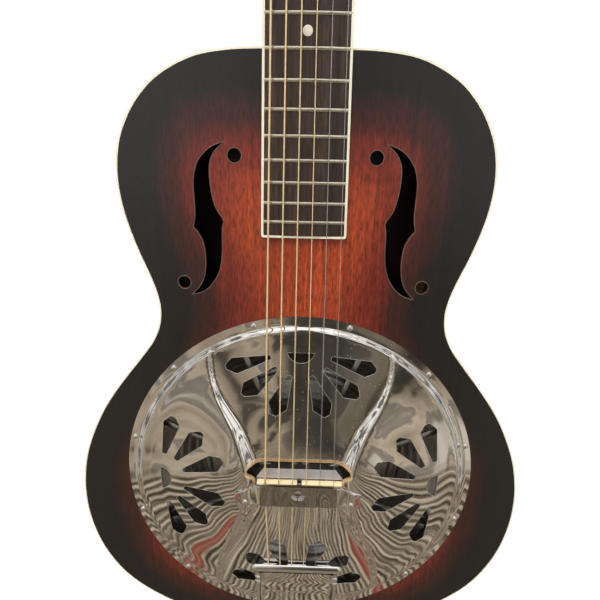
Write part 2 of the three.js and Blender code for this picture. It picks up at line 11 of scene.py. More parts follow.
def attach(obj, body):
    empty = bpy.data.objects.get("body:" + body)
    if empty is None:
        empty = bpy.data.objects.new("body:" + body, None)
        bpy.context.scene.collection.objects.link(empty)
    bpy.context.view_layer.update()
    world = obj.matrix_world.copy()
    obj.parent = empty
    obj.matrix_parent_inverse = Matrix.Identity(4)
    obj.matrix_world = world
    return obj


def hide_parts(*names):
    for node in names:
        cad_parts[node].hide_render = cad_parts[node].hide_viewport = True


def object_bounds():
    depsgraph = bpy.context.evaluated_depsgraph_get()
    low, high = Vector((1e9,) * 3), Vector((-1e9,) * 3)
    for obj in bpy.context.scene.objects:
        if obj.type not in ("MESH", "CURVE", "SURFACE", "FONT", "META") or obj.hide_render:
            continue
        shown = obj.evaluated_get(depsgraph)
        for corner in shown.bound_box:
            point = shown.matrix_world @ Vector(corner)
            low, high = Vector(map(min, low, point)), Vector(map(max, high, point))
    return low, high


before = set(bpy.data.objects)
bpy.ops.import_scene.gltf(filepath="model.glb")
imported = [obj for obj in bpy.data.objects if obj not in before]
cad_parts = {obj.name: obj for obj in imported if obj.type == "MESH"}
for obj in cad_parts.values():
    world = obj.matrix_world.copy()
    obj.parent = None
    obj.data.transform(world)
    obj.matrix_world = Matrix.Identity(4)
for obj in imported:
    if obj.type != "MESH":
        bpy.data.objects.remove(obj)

CAD_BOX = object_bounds()
ROOT = "guitar"

# ---- driving dimensions, millimetres ----
NUT_V = 636.5
BODY_DEPTH = 83.0
TOP_T = 4.0
SIDE_T = 3.5
BIND_SEEN = 1.2
BIND_H = 6.0
WELL_R = 134.5
COVER_R = 142.9
FLANGE_W = 1.8
COVER_T = 1.1
SCREW_R = 139.6
BOARD_END_V = 201.5
BOARD_END_HW = 29.7
BOARD_TAPER = 0.0135
BOARD_TOP = 5.8
BOARD_BIND = 1.6
NUT_T = 4.7
NUT_TOP = 7.2
HEAD_V = NUT_V + 5
HEAD_TILT = math.radians(13)
HEAD_T = 14.5
HEEL_V = 318.3
POST_X = 24.0
POST_S = (42.0, 82.0, 122.0)
POST_R = 3.0
GEAR_H = -18.8
GEAR_TEETH = 14
WORM_DROP = 7.5
SADDLE_TOP = 11.5
HUB_TOP = 6.8
PALM_TOP = 22.5
SPREAD_NUT = 37.4
SPREAD_SADDLE = 56.4
SPREAD_TAIL = 52.0
BRIDGE_X = 0.8
STRING_R = (0.2, 0.25, 0.33, 0.43, 0.53, 0.66)
TAIL_V = -173.0
HINGE_V = TAIL_V - 3.5
HINGE_W = 2.5
LEG_X = 34.5
LEG_SLOPE = (8.6 - HINGE_W) / (-94.9 - HINGE_V)

FACE = (Matrix.Translation((0, 0, -NUT_V / 1000)) @ Matrix.Rotation(math.pi / 2, 4, "X")
        @ Matrix.Scale(0.001, 4))
BRIDGE = FACE @ Matrix.Translation((BRIDGE_X, 0, 0))
HEAD = FACE @ Matrix.Translation((0, HEAD_V, 0)) @ Matrix.Rotation(-HEAD_TILT, 4, "X")

HALF_OUTLINE = (
    (320, 0), (320, 26), (318.8, 52.2), (314.5, 74.7), (303, 97.7), (291, 110.7), (278.8, 119.4),
    (262.6, 126.6), (243.1, 129.8), (223.7, 128.8), (205.5, 124.9), (187.3, 119.1), (169.9, 112.5),
    (154.9, 108.2), (144.1, 107.2), (132.4, 109), (120, 114.7), (105.2, 125.8), (86.2, 141.1),
    (64.8, 156.5), (41.8, 169), (17.4, 178.6), (-9.8, 184.2), (-38.1, 184.9), (-66.9, 180.1),
    (-89.9, 171.3), (-109.2, 159.4), (-126.6, 142.1), (-142.7, 118), (-155.9, 90.2),
    (-165.9, 59.5), (-171.6, 29.2), (-173, 0),
)
F_HOLE_UPPER_LEFT = ((54.1, 264), (58, 262.7), (62.3, 261), (66.3, 258.5), (69.5, 255.5), (72, 252.4),
                     (74.2, 248.6), (75.4, 244.5), (76.4, 240.4), (76.8, 235), (76.7, 228), (76.5, 220),
                     (76.9, 213), (78.3, 207))
F_HOLE_LOWER_LEFT = ((78.3, 207), (76, 204.3), (74, 201.1), (72.3, 197.9), (71.2, 193.9), (70.6, 188.8),
                     (70.4, 183.7), (70.7, 178.4), (71.5, 173.5), (72.8, 169.3), (75, 165), (77.5, 161.8),
                     (82, 157.4))
F_HOLE_LOWER_RIGHT = ((82, 157.4), (76.1, 158.8), (71.9, 160.8), (67.9, 164), (64.8, 167.9), (62.4, 171.8),
                      (60.7, 175.6), (59.4, 180.6), (58.6, 185.4), (58.1, 191.3), (58, 197.2),
                      (57.9, 203.3), (57.4, 208), (56.4, 211.3))
F_HOLE_UPPER_RIGHT = ((56.4, 211.3), (57.9, 214.3), (60.1, 217.4), (62.2, 221.6), (63.7, 227.4),
                      (64.7, 233.1), (65.2, 238.8), (65.4, 243.6), (65.1, 248.1), (64.3, 251.8),
                      (62.8, 255.1), (60.5, 258.2), (57.3, 261.3), (54.1, 264))
F_DOTS = ((47.9, 255.1), (86.8, 166.7))
F_DOT_R = 4.9
PETALS = (
    ((109, 22.6), (112.5, 23.6), (109.3, 53.5), (102.8, 58.7), (99.2, 57), (96, 49.4)),
    ((100.4, 16.8), (103.4, 19.6), (88.9, 44.7), (79.5, 46.6), (76.9, 43.8), (78.4, 33.6)),
    ((95.6, 6.4), (96.5, 10.2), (73.2, 25.1), (63.6, 24), (60.7, 19.3), (66.8, 10.2)),
)
OPENING = ((28.5, 22.8), (39.3, 20), (43.3, 14.8), (44.6, 7.8), (37.2, 2.5), (37.2, -13), (30, -16))
CREST = ((0, 42), (16, 45), (44, 53.5), (59, 60), (74.5, 67), (92, 70.5), (104, 71.5), (150, 71.5))


# ---- node materials ----
class Nodes:
    """A material and short calls that add and join its nodes."""

    def __init__(self, name):
        self.mat = bpy.data.materials.new(name)
        self.mat.use_nodes = True
        self.tree = self.mat.node_tree
        self.tree.nodes.clear()
        self.out = self.tree.nodes.new("ShaderNodeOutputMaterial")
        self.bsdf = self.tree.nodes.new("ShaderNodeBsdfPrincipled")
        self.link(self.bsdf.outputs[0], self.out.inputs[0])
        self.coord = self.tree.nodes.new("ShaderNodeTexCoord").outputs["Object"]

    def link(self, a, b):
        self.tree.links.new(a, b)

    def put(self, socket, value):
        if isinstance(value, bpy.types.NodeSocket):
            self.link(value, socket)
        else:
            socket.default_value = value

    def set(self, **values):
        for key, value in values.items():
            self.put(self.bsdf.inputs[key.replace("_", " ")], value)

    def scaled(self, scale):
        n = self.tree.nodes.new("ShaderNodeMapping")
        n.inputs["Scale"].default_value = scale
        self.link(self.coord, n.inputs["Vector"])
        return n.outputs[0]

    def noise(self, vector, scale, detail=3, rough=0.5, distort=0.0):
        n = self.tree.nodes.new("ShaderNodeTexNoise")
        self.link(vector, n.inputs["Vector"])
        n.inputs["Scale"].default_value = scale
        n.inputs["Detail"].default_value = detail
        n.inputs["Roughness"].default_value = rough
        n.inputs["Distortion"].default_value = distort
        return n.outputs["Fac"]

    def voronoi(self, vector, scale):
        n = self.tree.nodes.new("ShaderNodeTexVoronoi")
        self.link(vector, n.inputs["Vector"])
        n.inputs["Scale"].default_value = scale
        return n.outputs["Distance"]

    def math(self, kind, a, b=0.0, c=0.0, clamp=False):
        n = self.tree.nodes.new("ShaderNodeMath")
        n.operation = kind
        n.use_clamp = clamp
        for socket, value in zip(n.inputs, (a, b, c)):
            self.put(socket, value)
        return n.outputs[0]

    def ramp(self, fac, stops, mode="LINEAR"):
        n = self.tree.nodes.new("ShaderNodeValToRGB")
        n.color_ramp.interpolation = mode
        while len(n.color_ramp.elements) < len(stops):
            n.color_ramp.elements.new(0.5)
        for element, (at, colour) in zip(n.color_ramp.elements, stops):
            element.position = at
            if isinstance(colour, (int, float)):
                colour = (colour, colour, colour)
            element.color = (*colour[:3], 1)
        self.link(fac, n.inputs[0])
        return n.outputs[0]

    def mix(self, fac, a, b, blend="MIX"):
        n = self.tree.nodes.new("ShaderNodeMix")
        n.data_type = "RGBA"
        n.blend_type = blend
        for socket, value in ((n.inputs[0], fac), (n.inputs[6], a), (n.inputs[7], b)):
            if not isinstance(value, bpy.types.NodeSocket) and not isinstance(value, (int, float)):
                value = (*value[:3], 1)
            self.put(socket, value)
        return n.outputs[2]

    def split(self, vector):
        n = self.tree.nodes.new("ShaderNodeSeparateXYZ")
        self.link(vector, n.inputs[0])
        return n.outputs

    def bump(self, height, strength, distance, normal=None):
        n = self.tree.nodes.new("ShaderNodeBump")
        n.inputs["Strength"].default_value = strength
        n.inputs["Distance"].default_value = distance
        self.link(height, n.inputs["Height"])
        if normal is not None:
            self.link(normal, n.inputs["Normal"])
        return n.outputs[0]


def edge_distance(m):
    """Rough distance in millimetres from the body's outline, from a curve of half-width against v."""
    x, _, z = m.split(m.coord)[:3]
    v = m.math("MULTIPLY_ADD", z, 1000.0, NUT_V)
    reach = m.tree.nodes.new("ShaderNodeFloatCurve")
    curve = reach.mapping.curves[0]
    low, high, widest = -173.0, 320.0, 200.0
    stops = [((p[0] - low) / (high - low), p[1] / widest) for p in reversed(HALF_OUTLINE[2:-2:2])]
    stops = [(0.0, 0.0)] + stops + [(1.0, 0.22)]
    while len(curve.points) < len(stops):
        curve.points.new(0.5, 0.5)
    for point, place in zip(curve.points, stops):
        point.location = place
    reach.mapping.update()
    m.link(m.math("MULTIPLY_ADD", v, 1 / (high - low), -low / (high - low)), reach.inputs["Value"])
    half = m.math("MULTIPLY", reach.outputs[0], widest)
    across = m.math("SUBTRACT", half, m.math("MULTIPLY", m.math("ABSOLUTE", x), 1000.0))
    top = m.math("SUBTRACT", high, v)
    tail = m.math("SUBTRACT", v, low)
    ends = m.math("SMOOTH_MIN", top, tail, 20.0)
    return m.math("SMOOTH_MIN", across, ends, 40.0)


def burst_wood(name, centre, mid, dark, edge):
    """Lacquered mahogany, red in the middle and nearly black at the rim, with straight open grain."""
    m = Nodes(name)
    d = edge_distance(m)
    long = m.scaled((1.0, 1.0, 0.03))
    streak = m.noise(long, 330, 5, 0.65)
    broad = m.noise(long, 70, 3, 0.55)
    fleck = m.noise(m.scaled((1.0, 1.0, 0.16)), 800, 3, 0.7)
    patch = m.noise(m.scaled((1.0, 1.0, 0.45)), 18, 3, 0.6)
    wobble = m.math("MULTIPLY_ADD", patch, 16.0, -8.0)
    near = m.math("DIVIDE", m.math("ADD", d, wobble), 110.0, clamp=True)
    shade = m.ramp(near, ((0.0, edge), (0.2, edge), (0.36, dark), (0.56, mid), (0.85, centre)), "EASE")
    lines = m.ramp(m.math("MULTIPLY_ADD", streak, 0.65, m.math("MULTIPLY", broad, 0.35)),
                   ((0.34, 0.42), (0.5, 0.88), (0.66, 1.4)))
    pores = m.ramp(fleck, ((0.38, 0.35), (0.5, 1.0), (0.62, 1.35)))
    colour = m.mix(0.85, shade, m.mix(1.0, shade, lines, "MULTIPLY"))
    colour = m.mix(0.8, colour, m.mix(1.0, colour, pores, "MULTIPLY"))
    smear = m.noise(m.scaled((1, 1, 1)), 9, 4, 0.6)
    m.set(Base_Color=colour, Roughness=m.ramp(smear, ((0.3, 0.29), (0.7, 0.43))))
    m.bsdf.inputs["Coat Weight"].default_value = 0.7
    m.bsdf.inputs["Coat Roughness"].default_value = 0.28
    m.bsdf.inputs["Specular IOR Level"].default_value = 0.42
    height = m.math("ADD", m.math("MULTIPLY", fleck, 0.5), m.math("MULTIPLY", streak, 0.5))
    m.set(Normal=m.bump(height, 0.16, 0.0003))
    return m.mat


def plain_wood(name, light, dark, scale=(1, 1, 0.05), density=260, rough=0.6, coat=0.0, bump=0.3):
    m = Nodes(name)
    stretched = m.scaled(scale)
    grain = m.noise(stretched, density, 6, 0.65)
    broad = m.noise(stretched, density / 7, 3, 0.5, 0.3)
    both = m.math("MULTIPLY_ADD", grain, 0.6, m.math("MULTIPLY", broad, 0.4))
    colour = m.ramp(both, ((0.3, dark), (0.68, light)))
    m.set(Base_Color=colour, Roughness=m.ramp(grain, ((0.3, rough + 0.1), (0.7, rough - 0.06))))
    m.bsdf.inputs["Coat Weight"].default_value = coat
    m.bsdf.inputs["Coat Roughness"].default_value = 0.25
    m.set(Normal=m.bump(grain, bump, 0.0004))
    return m.mat


def chrome(name, tint=(0.84, 0.81, 0.76), rough=0.012, dust=0.12, ripple=0.03, wave=18, haze_rough=0.02):
    """Plated metal with faint polishing haze, dust and, in patches, a duller film."""
    m = Nodes(name)
    haze = m.noise(m.coord, 26, 4, 0.6)
    fine = m.noise(m.coord, 420, 3, 0.6)
    specks = m.ramp(m.voronoi(m.coord, 330), ((0.0, 1.0), (0.12, 0.0)))
    where = m.ramp(m.noise(m.coord, 45, 3, 0.6), ((0.45, 0.0), (0.62, 1.0)))
    spot = m.math("MULTIPLY", m.math("MULTIPLY", specks, where), dust)
    film = m.ramp(haze, ((0.3, rough), (0.7, rough + haze_rough)))
    m.set(Metallic=m.math("SUBTRACT", 1.0, spot, clamp=True))
    plating = m.ramp(haze, ((0.3, tint), (0.75, [c * 0.9 for c in tint])))
    m.set(Base_Color=m.mix(spot, plating, (0.7, 0.67, 0.6)),
          Roughness=m.math("ADD", film, m.math("MULTIPLY", spot, 2.5), clamp=True))
    bent = m.bump(m.noise(m.coord, wave, 2, 0.4), ripple, 0.002)
    m.set(Normal=m.bump(fine, 0.006, 0.0002, bent))
    return m.mat


def metal(name, colour, rough=0.35, lines=None, scale=300, bump=0.15, spread=0.12, metallic=1.0):
    m = Nodes(name)
    vector = m.scaled(lines) if lines else m.coord
    n = m.noise(vector, scale, 4, 0.6)
    stain = m.noise(m.coord, 60, 3, 0.6)
    m.set(Metallic=metallic)
    m.set(Base_Color=m.ramp(stain, ((0.3, [c * 0.82 for c in colour]), (0.7, colour))),
          Roughness=m.ramp(n, ((0.3, rough - spread / 2), (0.7, rough + spread))),
          Normal=m.bump(n, bump, 0.0002))
    return m.mat


def spun_metal(name, colour):
    """Spun aluminium with turning rings about the cone's axis."""
    m = Nodes(name)
    x, _, z = m.split(m.coord)[:3]
    v = m.math("ADD", z, NUT_V / 1000)
    r = m.math("SQRT", m.math("ADD", m.math("MULTIPLY", x, x), m.math("MULTIPLY", v, v)))
    n = m.tree.nodes.new("ShaderNodeTexNoise")
    n.noise_dimensions = "1D"
    m.link(r, n.inputs["W"])
    n.inputs["Scale"].default_value = 1500
    n.inputs["Detail"].default_value = 3
    stain = m.noise(m.coord, 40, 3, 0.6)
    m.set(Metallic=1.0)
    m.set(Base_Color=m.ramp(stain, ((0.3, [c * 0.8 for c in colour]), (0.7, colour))),
          Roughness=m.ramp(n.outputs["Fac"], ((0.3, 0.2), (0.7, 0.42))),
          Normal=m.bump(n.outputs["Fac"], 0.4, 0.0002))
    return m.mat


def smooth_solid(name, light, dark, rough=0.35, scale=30, coat=0.0, bump=0.06):
    """Bone, celluloid or moulded plastic: slight mottling, fine handling marks."""
    m = Nodes(name)
    n = m.noise(m.coord, scale, 4, 0.6)
    fine = m.noise(m.coord, scale * 14, 3, 0.6)
    m.set(Base_Color=m.ramp(n, ((0.3, dark), (0.7, light))),
          Roughness=m.ramp(fine, ((0.3, rough - 0.05), (0.7, rough + 0.1))),
          Normal=m.bump(fine, bump, 0.0002))
    m.bsdf.inputs["Coat Weight"].default_value = coat
    return m.mat


def wire(name, colour, pitch=None, metallic=1.0):
    """String wire, ribbed where it is wound and smooth where no pitch is given."""
    m = Nodes(name)
    _, _, z = m.split(m.coord)[:3]
    tarnish = m.noise(m.scaled((1, 1, 0.25)), 120, 3, 0.6)
    m.set(Metallic=metallic)
    m.set(Base_Color=m.ramp(tarnish, ((0.3, [c * 0.85 for c in colour]), (0.65, colour))),
          Roughness=m.ramp(tarnish, ((0.3, 0.38), (0.7, 0.22))))
    if pitch:
        turn = m.math("SINE", m.math("MULTIPLY", z, 2 * math.pi / pitch))
        m.set(Normal=m.bump(turn, 0.5, 0.0002))
    else:
        m.set(Normal=m.bump(tarnish, 0.05, 0.0001))
    return m.mat


def rosewood(name):
    m = Nodes(name)
    long = m.scaled((1.0, 1.0, 0.035))
    streak = m.noise(long, 420, 5, 0.65)
    broad = m.noise(long, 90, 3, 0.55)
    pore = m.ramp(m.noise(m.scaled((1, 1, 0.05)), 1500, 2, 0.6), ((0.4, 0.35), (0.5, 1.0)))
    both = m.math("MULTIPLY_ADD", streak, 0.55, m.math("MULTIPLY", broad, 0.45))
    colour = m.ramp(both, ((0.32, (0.018, 0.011, 0.009)), (0.5, (0.045, 0.027, 0.02)),
                           (0.68, (0.1, 0.062, 0.045))))
    m.set(Base_Color=m.mix(0.7, colour, m.mix(1.0, colour, pore, "MULTIPLY")),
          Roughness=m.ramp(streak, ((0.3, 0.62), (0.7, 0.42))),
          Normal=m.bump(pore, 0.25, 0.0003))
    return m.mat


TOP_WOOD = burst_wood("top_sunburst", (0.42, 0.060, 0.015), (0.19, 0.020, 0.009), (0.045, 0.008, 0.0055),
                      (0.0065, 0.0048, 0.0040))
BACK_WOOD = burst_wood("back_sunburst", (0.17, 0.045, 0.02), (0.10, 0.022, 0.012), (0.04, 0.011, 0.008),
                       (0.012, 0.0085, 0.0075))
SIDE_WOOD = plain_wood("side_stained", (0.055, 0.016, 0.011), (0.016, 0.008, 0.007), (0.03, 1, 0.3), 240,
                       0.36, 0.25, 0.12)
NECK_WOOD = plain_wood("neck_stained", (0.07, 0.022, 0.014), (0.022, 0.010, 0.008), (1, 1, 0.05), 240,
                       0.38, 0.2, 0.12)
EDGE_WOOD = plain_wood("hole_edge", (0.16, 0.05, 0.025), (0.045, 0.016, 0.010), (0.2, 1, 0.2), 500,
                       0.16, 1.0, 0.05)
RAW_WOOD = plain_wood("inner_maple", (0.26, 0.18, 0.105), (0.13, 0.085, 0.05), (1, 1, 0.08), 200, 0.7)
ROSEWOOD = rosewood("rosewood")
CREAM = smooth_solid("cream_celluloid", (0.95, 0.90, 0.72), (0.88, 0.82, 0.62), 0.32, 22, 0.3)
BONE = smooth_solid("bone", (0.84, 0.79, 0.64), (0.74, 0.67, 0.5), 0.3, 40, 0.2)
SADDLE = plain_wood("saddle_maple", (0.97, 0.86, 0.58), (0.9, 0.74, 0.42), (0.08, 1, 1), 300, 0.5, 0.0, 0.1)
# Glossy lacquer bead, paler than the wood round it so that it reads as a thin edge line: partly painted
# highlight.
LACQUER_AND_PAINTED_HIGHLIGHT = smooth_solid("edge_lacquer_and_painted_highlight", (0.20, 0.13, 0.10), (0.10, 0.06, 0.05), 0.12, 60, 1.0)
CHROME = chrome("coverplate_chrome", dust=0.7, ripple=0.1)
# Darker copy of the coverplate chrome for the palm rest: painted shade, the plating itself is the same.
PALM_CHROME_PAINTED_SHADE = chrome("palm_rest_chrome_painted_shade", (0.46, 0.43, 0.39), 0.01, 0.2, 1.0, 16)
LIP_METAL = metal("lip_metal", (0.92, 0.64, 0.36), 0.2, None, 400, 0.1, 0.15, 0.5)
BRIGHT = chrome("hardware_chrome", (0.86, 0.84, 0.80), 0.08, 0.05, 0.0, haze_rough=0.05)
NICKEL = metal("nickel", (0.62, 0.60, 0.56), 0.22, None, 260, 0.05, 0.08)
FRET_METAL = metal("fret_nickel", (0.80, 0.75, 0.60), 0.24, (0.1, 1, 1), 900, 0.1, 0.1)
# Darker alloy: the spider legs' own colour, and painted shade on the hub's side walls and slot floor.
CAST_AND_PAINTED_SHADE = metal("cast_alloy_and_painted_shade", (0.40, 0.38, 0.35), 0.34, None, 500, 0.25, 0.15)
HUB_METAL = metal("hub_alloy", (0.62, 0.60, 0.62), 0.36, (0.2, 1, 1), 500, 0.12, 0.1, 0.35)
CONE_METAL = spun_metal("spun_cone", (0.56, 0.53, 0.49))
STEEL = metal("screw_steel", (0.60, 0.59, 0.57), 0.3, None, 500, 0.1, 0.1)
BRASS = metal("gear_brass", (0.62, 0.43, 0.17), 0.3, None, 400, 0.12, 0.12)
BLACK = smooth_solid("black_plastic", (0.018, 0.017, 0.016), (0.010, 0.010, 0.010), 0.22, 60, 0.3)
PEARL = smooth_solid("pearl_dot", (0.80, 0.76, 0.62), (0.64, 0.60, 0.48), 0.25, 160, 0.5)
WOUND = wire("wound_bronze", (1.0, 0.76, 0.43), 0.00066, metallic=0.3)
PLAIN = wire("plain_steel", (0.72, 0.71, 0.69))


# ---- mesh helpers ----
def catmull(points, steps):
    """Points along a centripetal curve through the given ones."""
    pts = [Vector(p) for p in points]
    n = len(pts)
    out = []
    for i in range(n - 1):
        p1, p2 = pts[i], pts[i + 1]
        p0 = pts[i - 1] if i > 0 else p1 * 2 - p2
        p3 = pts[i + 2] if i + 2 < n else p2 * 2 - p1
        t01 = max((p1 - p0).length ** 0.5, 1e-6)
        t12 = max((p2 - p1).length ** 0.5, 1e-6)
        t23 = max((p3 - p2).length ** 0.5, 1e-6)
        m1 = (p2 - p1) + t12 * ((p1 - p0) / t01 - (p2 - p0) / (t01 + t12))
        m2 = (p2 - p1) + t12 * ((p3 - p2) / t23 - (p3 - p1) / (t12 + t23))
        for k in range(steps):
            t = k / steps
            a = 2 * (p1 - p2) + m1 + m2
            b = -3 * (p1 - p2) - 2 * m1 - m2
            out.append(a * t ** 3 + b * t * t + m1 * t + p1)
    return out + [pts[-1]]


def mesh_object(name, verts, faces, material, body=ROOT, matrix=FACE, angle=35, slot=None, replaces=(),
                extra=(), face_slots=None):
    """Smooth-shaded piece on a CAD body, sharp at edges over the angle; face_slots picks its materials."""
    mesh = bpy.data.meshes.new(name)
    mesh.from_pydata([matrix @ Vector(v) for v in verts], [], faces)
    mesh.materials.append(material)
    for other in extra:
        mesh.materials.append(other)
    if face_slots:
        for poly, k in zip(mesh.polygons, face_slots):
            poly.material_index = k
    mesh.validate()
    bm = bmesh.new()
    bm.from_mesh(mesh)
    bmesh.ops.recalc_face_normals(bm, faces=bm.faces)
    bm.to_mesh(mesh)
    bm.free()
    mesh.polygons.foreach_set("use_smooth", [True] * len(mesh.polygons))
    mesh.set_sharp_from_angle(angle=math.radians(angle))
    obj = bpy.data.objects.new(name, mesh)
    bpy.context.scene.collection.objects.link(obj)
    if replaces:
        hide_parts(*replaces)
    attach(obj, body)
    return obj


def bevelled(obj, width, segments=2, angle=40):
    mod = obj.modifiers.new("edge", "BEVEL")
    mod.width = width / 1000
    mod.segments = segments
    mod.limit_method = "ANGLE"
    mod.angle_limit = math.radians(angle)


def plate(loops, w0, w1):
    """Flat plate, its first loop outside and the others holes: vertices, faces, number of cap faces."""
    faces = []
    flat = [[Vector((x, v, 0)) for x, v in loop] for loop in loops]
    tris = tessellate_polygon(flat)
    base = [p for loop in flat for p in loop]
    n = len(base)
    verts = [(p.x, p.y, w0) for p in base] + [(p.x, p.y, w1) for p in base]
    for t in tris:
        faces.append(tuple(reversed(t)))
        faces.append(tuple(i + n for i in t))
    caps = len(faces)
    start = 0
    for loop in flat:
        k = len(loop)
        for i in range(k):
            a, b = start + i, start + (i + 1) % k
            faces.append((a, b, b + n, a + n))
        start += k
    return verts, faces, caps


def loft(rings):
    """Closed skin through rings of equal length, capped at both ends."""
    verts = [p for ring in rings for p in ring]
    n = len(rings[0])
    faces = []
    for i in range(len(rings) - 1):
        for k in range(n):
            a, b = i * n + k, i * n + (k + 1) % n
            faces.append((a, b, b + n, a + n))
    faces.append(tuple(reversed(range(n))))
    faces.append(tuple(range((len(rings) - 1) * n, len(rings) * n)))
    return verts, faces


def lathe(profile, segments, axis="w"):
    """Turned part about w or v; profile in (r, height). Points with r 0 become one pole each."""
    verts, faces, rows = [], [], []
    for r, h in profile:
        if r < 1e-6:
            rows.append([len(verts)])
            verts.append((0, 0, h))
        else:
            rows.append(list(range(len(verts), len(verts) + segments)))
            verts += [(r * math.cos(2 * math.pi * k / segments), r * math.sin(2 * math.pi * k / segments), h)
                      for k in range(segments)]
    for a, b in zip(rows, rows[1:]):
        for k in range(segments):
            j = (k + 1) % segments
            if len(a) == 1 and len(b) == 1:
                continue
            if len(a) == 1:
                faces.append((a[0], b[j], b[k]))
            elif len(b) == 1:
                faces.append((a[k], a[j], b[0]))
            else:
                faces.append((a[k], a[j], b[j], b[k]))
    if axis == "v":
        verts = [(y, h, x) for x, y, h in verts]
    return verts, faces


def tube(points, radius, segments=12):
    """Round tube along points; radius may be a number or one per point."""
    pts = [Vector(p) for p in points]
    radii = radius if isinstance(radius, (list, tuple)) else [radius] * len(pts)
    rings = []
    side = None
    for i, p in enumerate(pts):
        ahead = pts[min(i + 1, len(pts) - 1)] - pts[max(i - 1, 0)]
        ahead.normalize()
        if side is None:
            side = ahead.orthogonal().normalized()
        side = (side - ahead * side.dot(ahead)).normalized()
        up = ahead.cross(side)
        rings.append([p + (side * math.cos(a) + up * math.sin(a)) * radii[i]
                      for a in (2 * math.pi * k / segments for k in range(segments))])
    return loft(rings)


def closed_tube(points, radius, segments=8):
    """Round bead along a closed loop."""
    pts = [Vector(p) for p in points]
    verts, faces = [], []
    n = len(pts)
    for i, p in enumerate(pts):
        ahead = (pts[(i + 1) % n] - pts[i - 1]).normalized()
        side = ahead.cross(Vector((0, 0, 1))).normalized()
        up = side.cross(ahead)
        verts += [p + (side * math.cos(a) + up * math.sin(a)) * radius
                  for a in (2 * math.pi * k / segments for k in range(segments))]
        a, b = i * segments, (i + 1) % n * segments
        faces += [(a + k, a + (k + 1) % segments, b + (k + 1) % segments, b + k) for k in range(segments)]
    return verts, faces


def merge(*parts):
    verts, faces = [], []
    for v, f in parts:
        n = len(verts)
        verts += list(v)
        faces += [tuple(i + n for i in face) for face in f]
    return verts, faces


def moved(part, matrix):
    return [matrix @ Vector(v) for v in part[0]], part[1]


def shift(x=0, v=0, w=0):
    return Matrix.Translation((x, v, w))


def block(x0, x1, v0, v1, w0, w1):
    verts, faces, _ = plate([[(x0, v0), (x1, v0), (x1, v1), (x0, v1)]], w0, w1)
    return verts, faces


def mirror(loop):
    return [(-x, v) for x, v in reversed(loop)]


def ring2d(radius, n, cx=0.0, cv=0.0):
    return [(cx + radius * math.cos(2 * math.pi * k / n), cv + radius * math.sin(2 * math.pi * k / n))
            for k in range(n)]


def clamp(t, low=0.0, high=1.0):
    return max(low, min(high, t))


def smoothstep(a, b, t):
    t = clamp((t - a) / (b - a))
    return t * t * (3 - 2 * t)


def board_half(v):
    return BOARD_END_HW - BOARD_TAPER * (v - BOARD_END_V)


def string_x(i, spread):
    return BRIDGE_X + spread / 2 - spread * i / 5


def notched(x, places, top, depth, room):
    """Height of a straight edge at x, with a rounded notch under each string."""
    for place, r in zip(places, STRING_R):
        d = abs(x - place) / (r + room)
        if d < 1:
            top -= depth * (1 - d ** 2)
    return top


# ---- body ----
def body_outline():
    """Closed outline of the body, smoothed without shrinking it."""
    half = catmull([(x, v) for v, x in HALF_OUTLINE], 6)
    full = half + [Vector((-p.x, p.y)) for p in reversed(half[1:-1])]
    n = len(full)
    for weight in (0.5, -0.53) * 10:
        full = [p * (1 - weight) + (full[i - 1] + full[(i + 1) % n]) * (weight / 2)
                for i, p in enumerate(full)]
    widest = max(x for v, x in HALF_OUTLINE) / max(p.x for p in full)
    return [Vector((p.x * widest, p.y)) for p in full]


OUTLINE = body_outline()


def inset(loop, d):
    out = []
    for i, p in enumerate(loop):
        t = (loop[(i + 1) % len(loop)] - loop[i - 1]).normalized()
        out.append(p + Vector((t.y, -t.x)) * d)
    return out


def outline(d):
    """Body outline moved inwards by d."""
    return [(p.x, p.y) for p in inset(OUTLINE, d)]


def f_hole():
    sides = [catmull(part, 4)[:-1] for part in (F_HOLE_UPPER_LEFT, F_HOLE_LOWER_LEFT, F_HOLE_LOWER_RIGHT,
                                                F_HOLE_UPPER_RIGHT)]
    return [(p.x, p.y) for side in sides for p in side]


def make_body():
    hole = f_hole()
    loops = [outline(BIND_SEEN + 0.05), ring2d(WELL_R, 96), hole, mirror(hole)]
    for x, v in F_DOTS:
        loops += [ring2d(F_DOT_R, 32, x, v), ring2d(F_DOT_R, 32, -x, v)]
    verts, faces, caps = plate(loops, -TOP_T, 0)
    marks = [0] * caps + [1] * (len(faces) - caps)
    top = mesh_object("top_plate", verts, faces, TOP_WOOD, extra=(EDGE_WOOD,), face_slots=marks,
                      slot="sunburst_top", replaces=("soundboard",))
    bevelled(top, 0.5, 2)
    verts, faces, _ = plate([outline(BIND_SEEN + 0.05)], -BODY_DEPTH, -BODY_DEPTH + TOP_T)
    bevelled(mesh_object("back_plate", verts, faces, BACK_WOOD, slot="stained_wood", replaces=("back",)),
             0.4, 2)
    for name, node, w0 in (("binding_top", "top_binding", -BIND_H),
                           ("binding_back", "back_binding", -BODY_DEPTH)):
        verts, faces, _ = plate([outline(0), outline(BIND_SEEN)], w0, w0 + BIND_H)
        bevelled(mesh_object(name, verts, faces, CREAM, slot="cream_binding", replaces=(node,)), 0.5, 2)
    outer, inner = outline(0), outline(SIDE_T)
    n = len(outer)
    half = n // 2
    for sign, node in ((1, "side_treble"), (-1, "side_bass")):
        index = list(range(0, half + 1)) if sign > 0 else [i % n for i in range(half, n + 1)]
        a = [outer[i] for i in index]
        b = [inner[i] for i in index]
        verts, faces, _ = plate([a + b[::-1]], -BODY_DEPTH + BIND_H, -BIND_H)
        mesh_object(node + "_rim", verts, faces, SIDE_WOOD, slot="stained_wood", replaces=(node,))


def keep_cad(names, material):
    for name in names:
        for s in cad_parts[name].material_slots:
            s.material = material


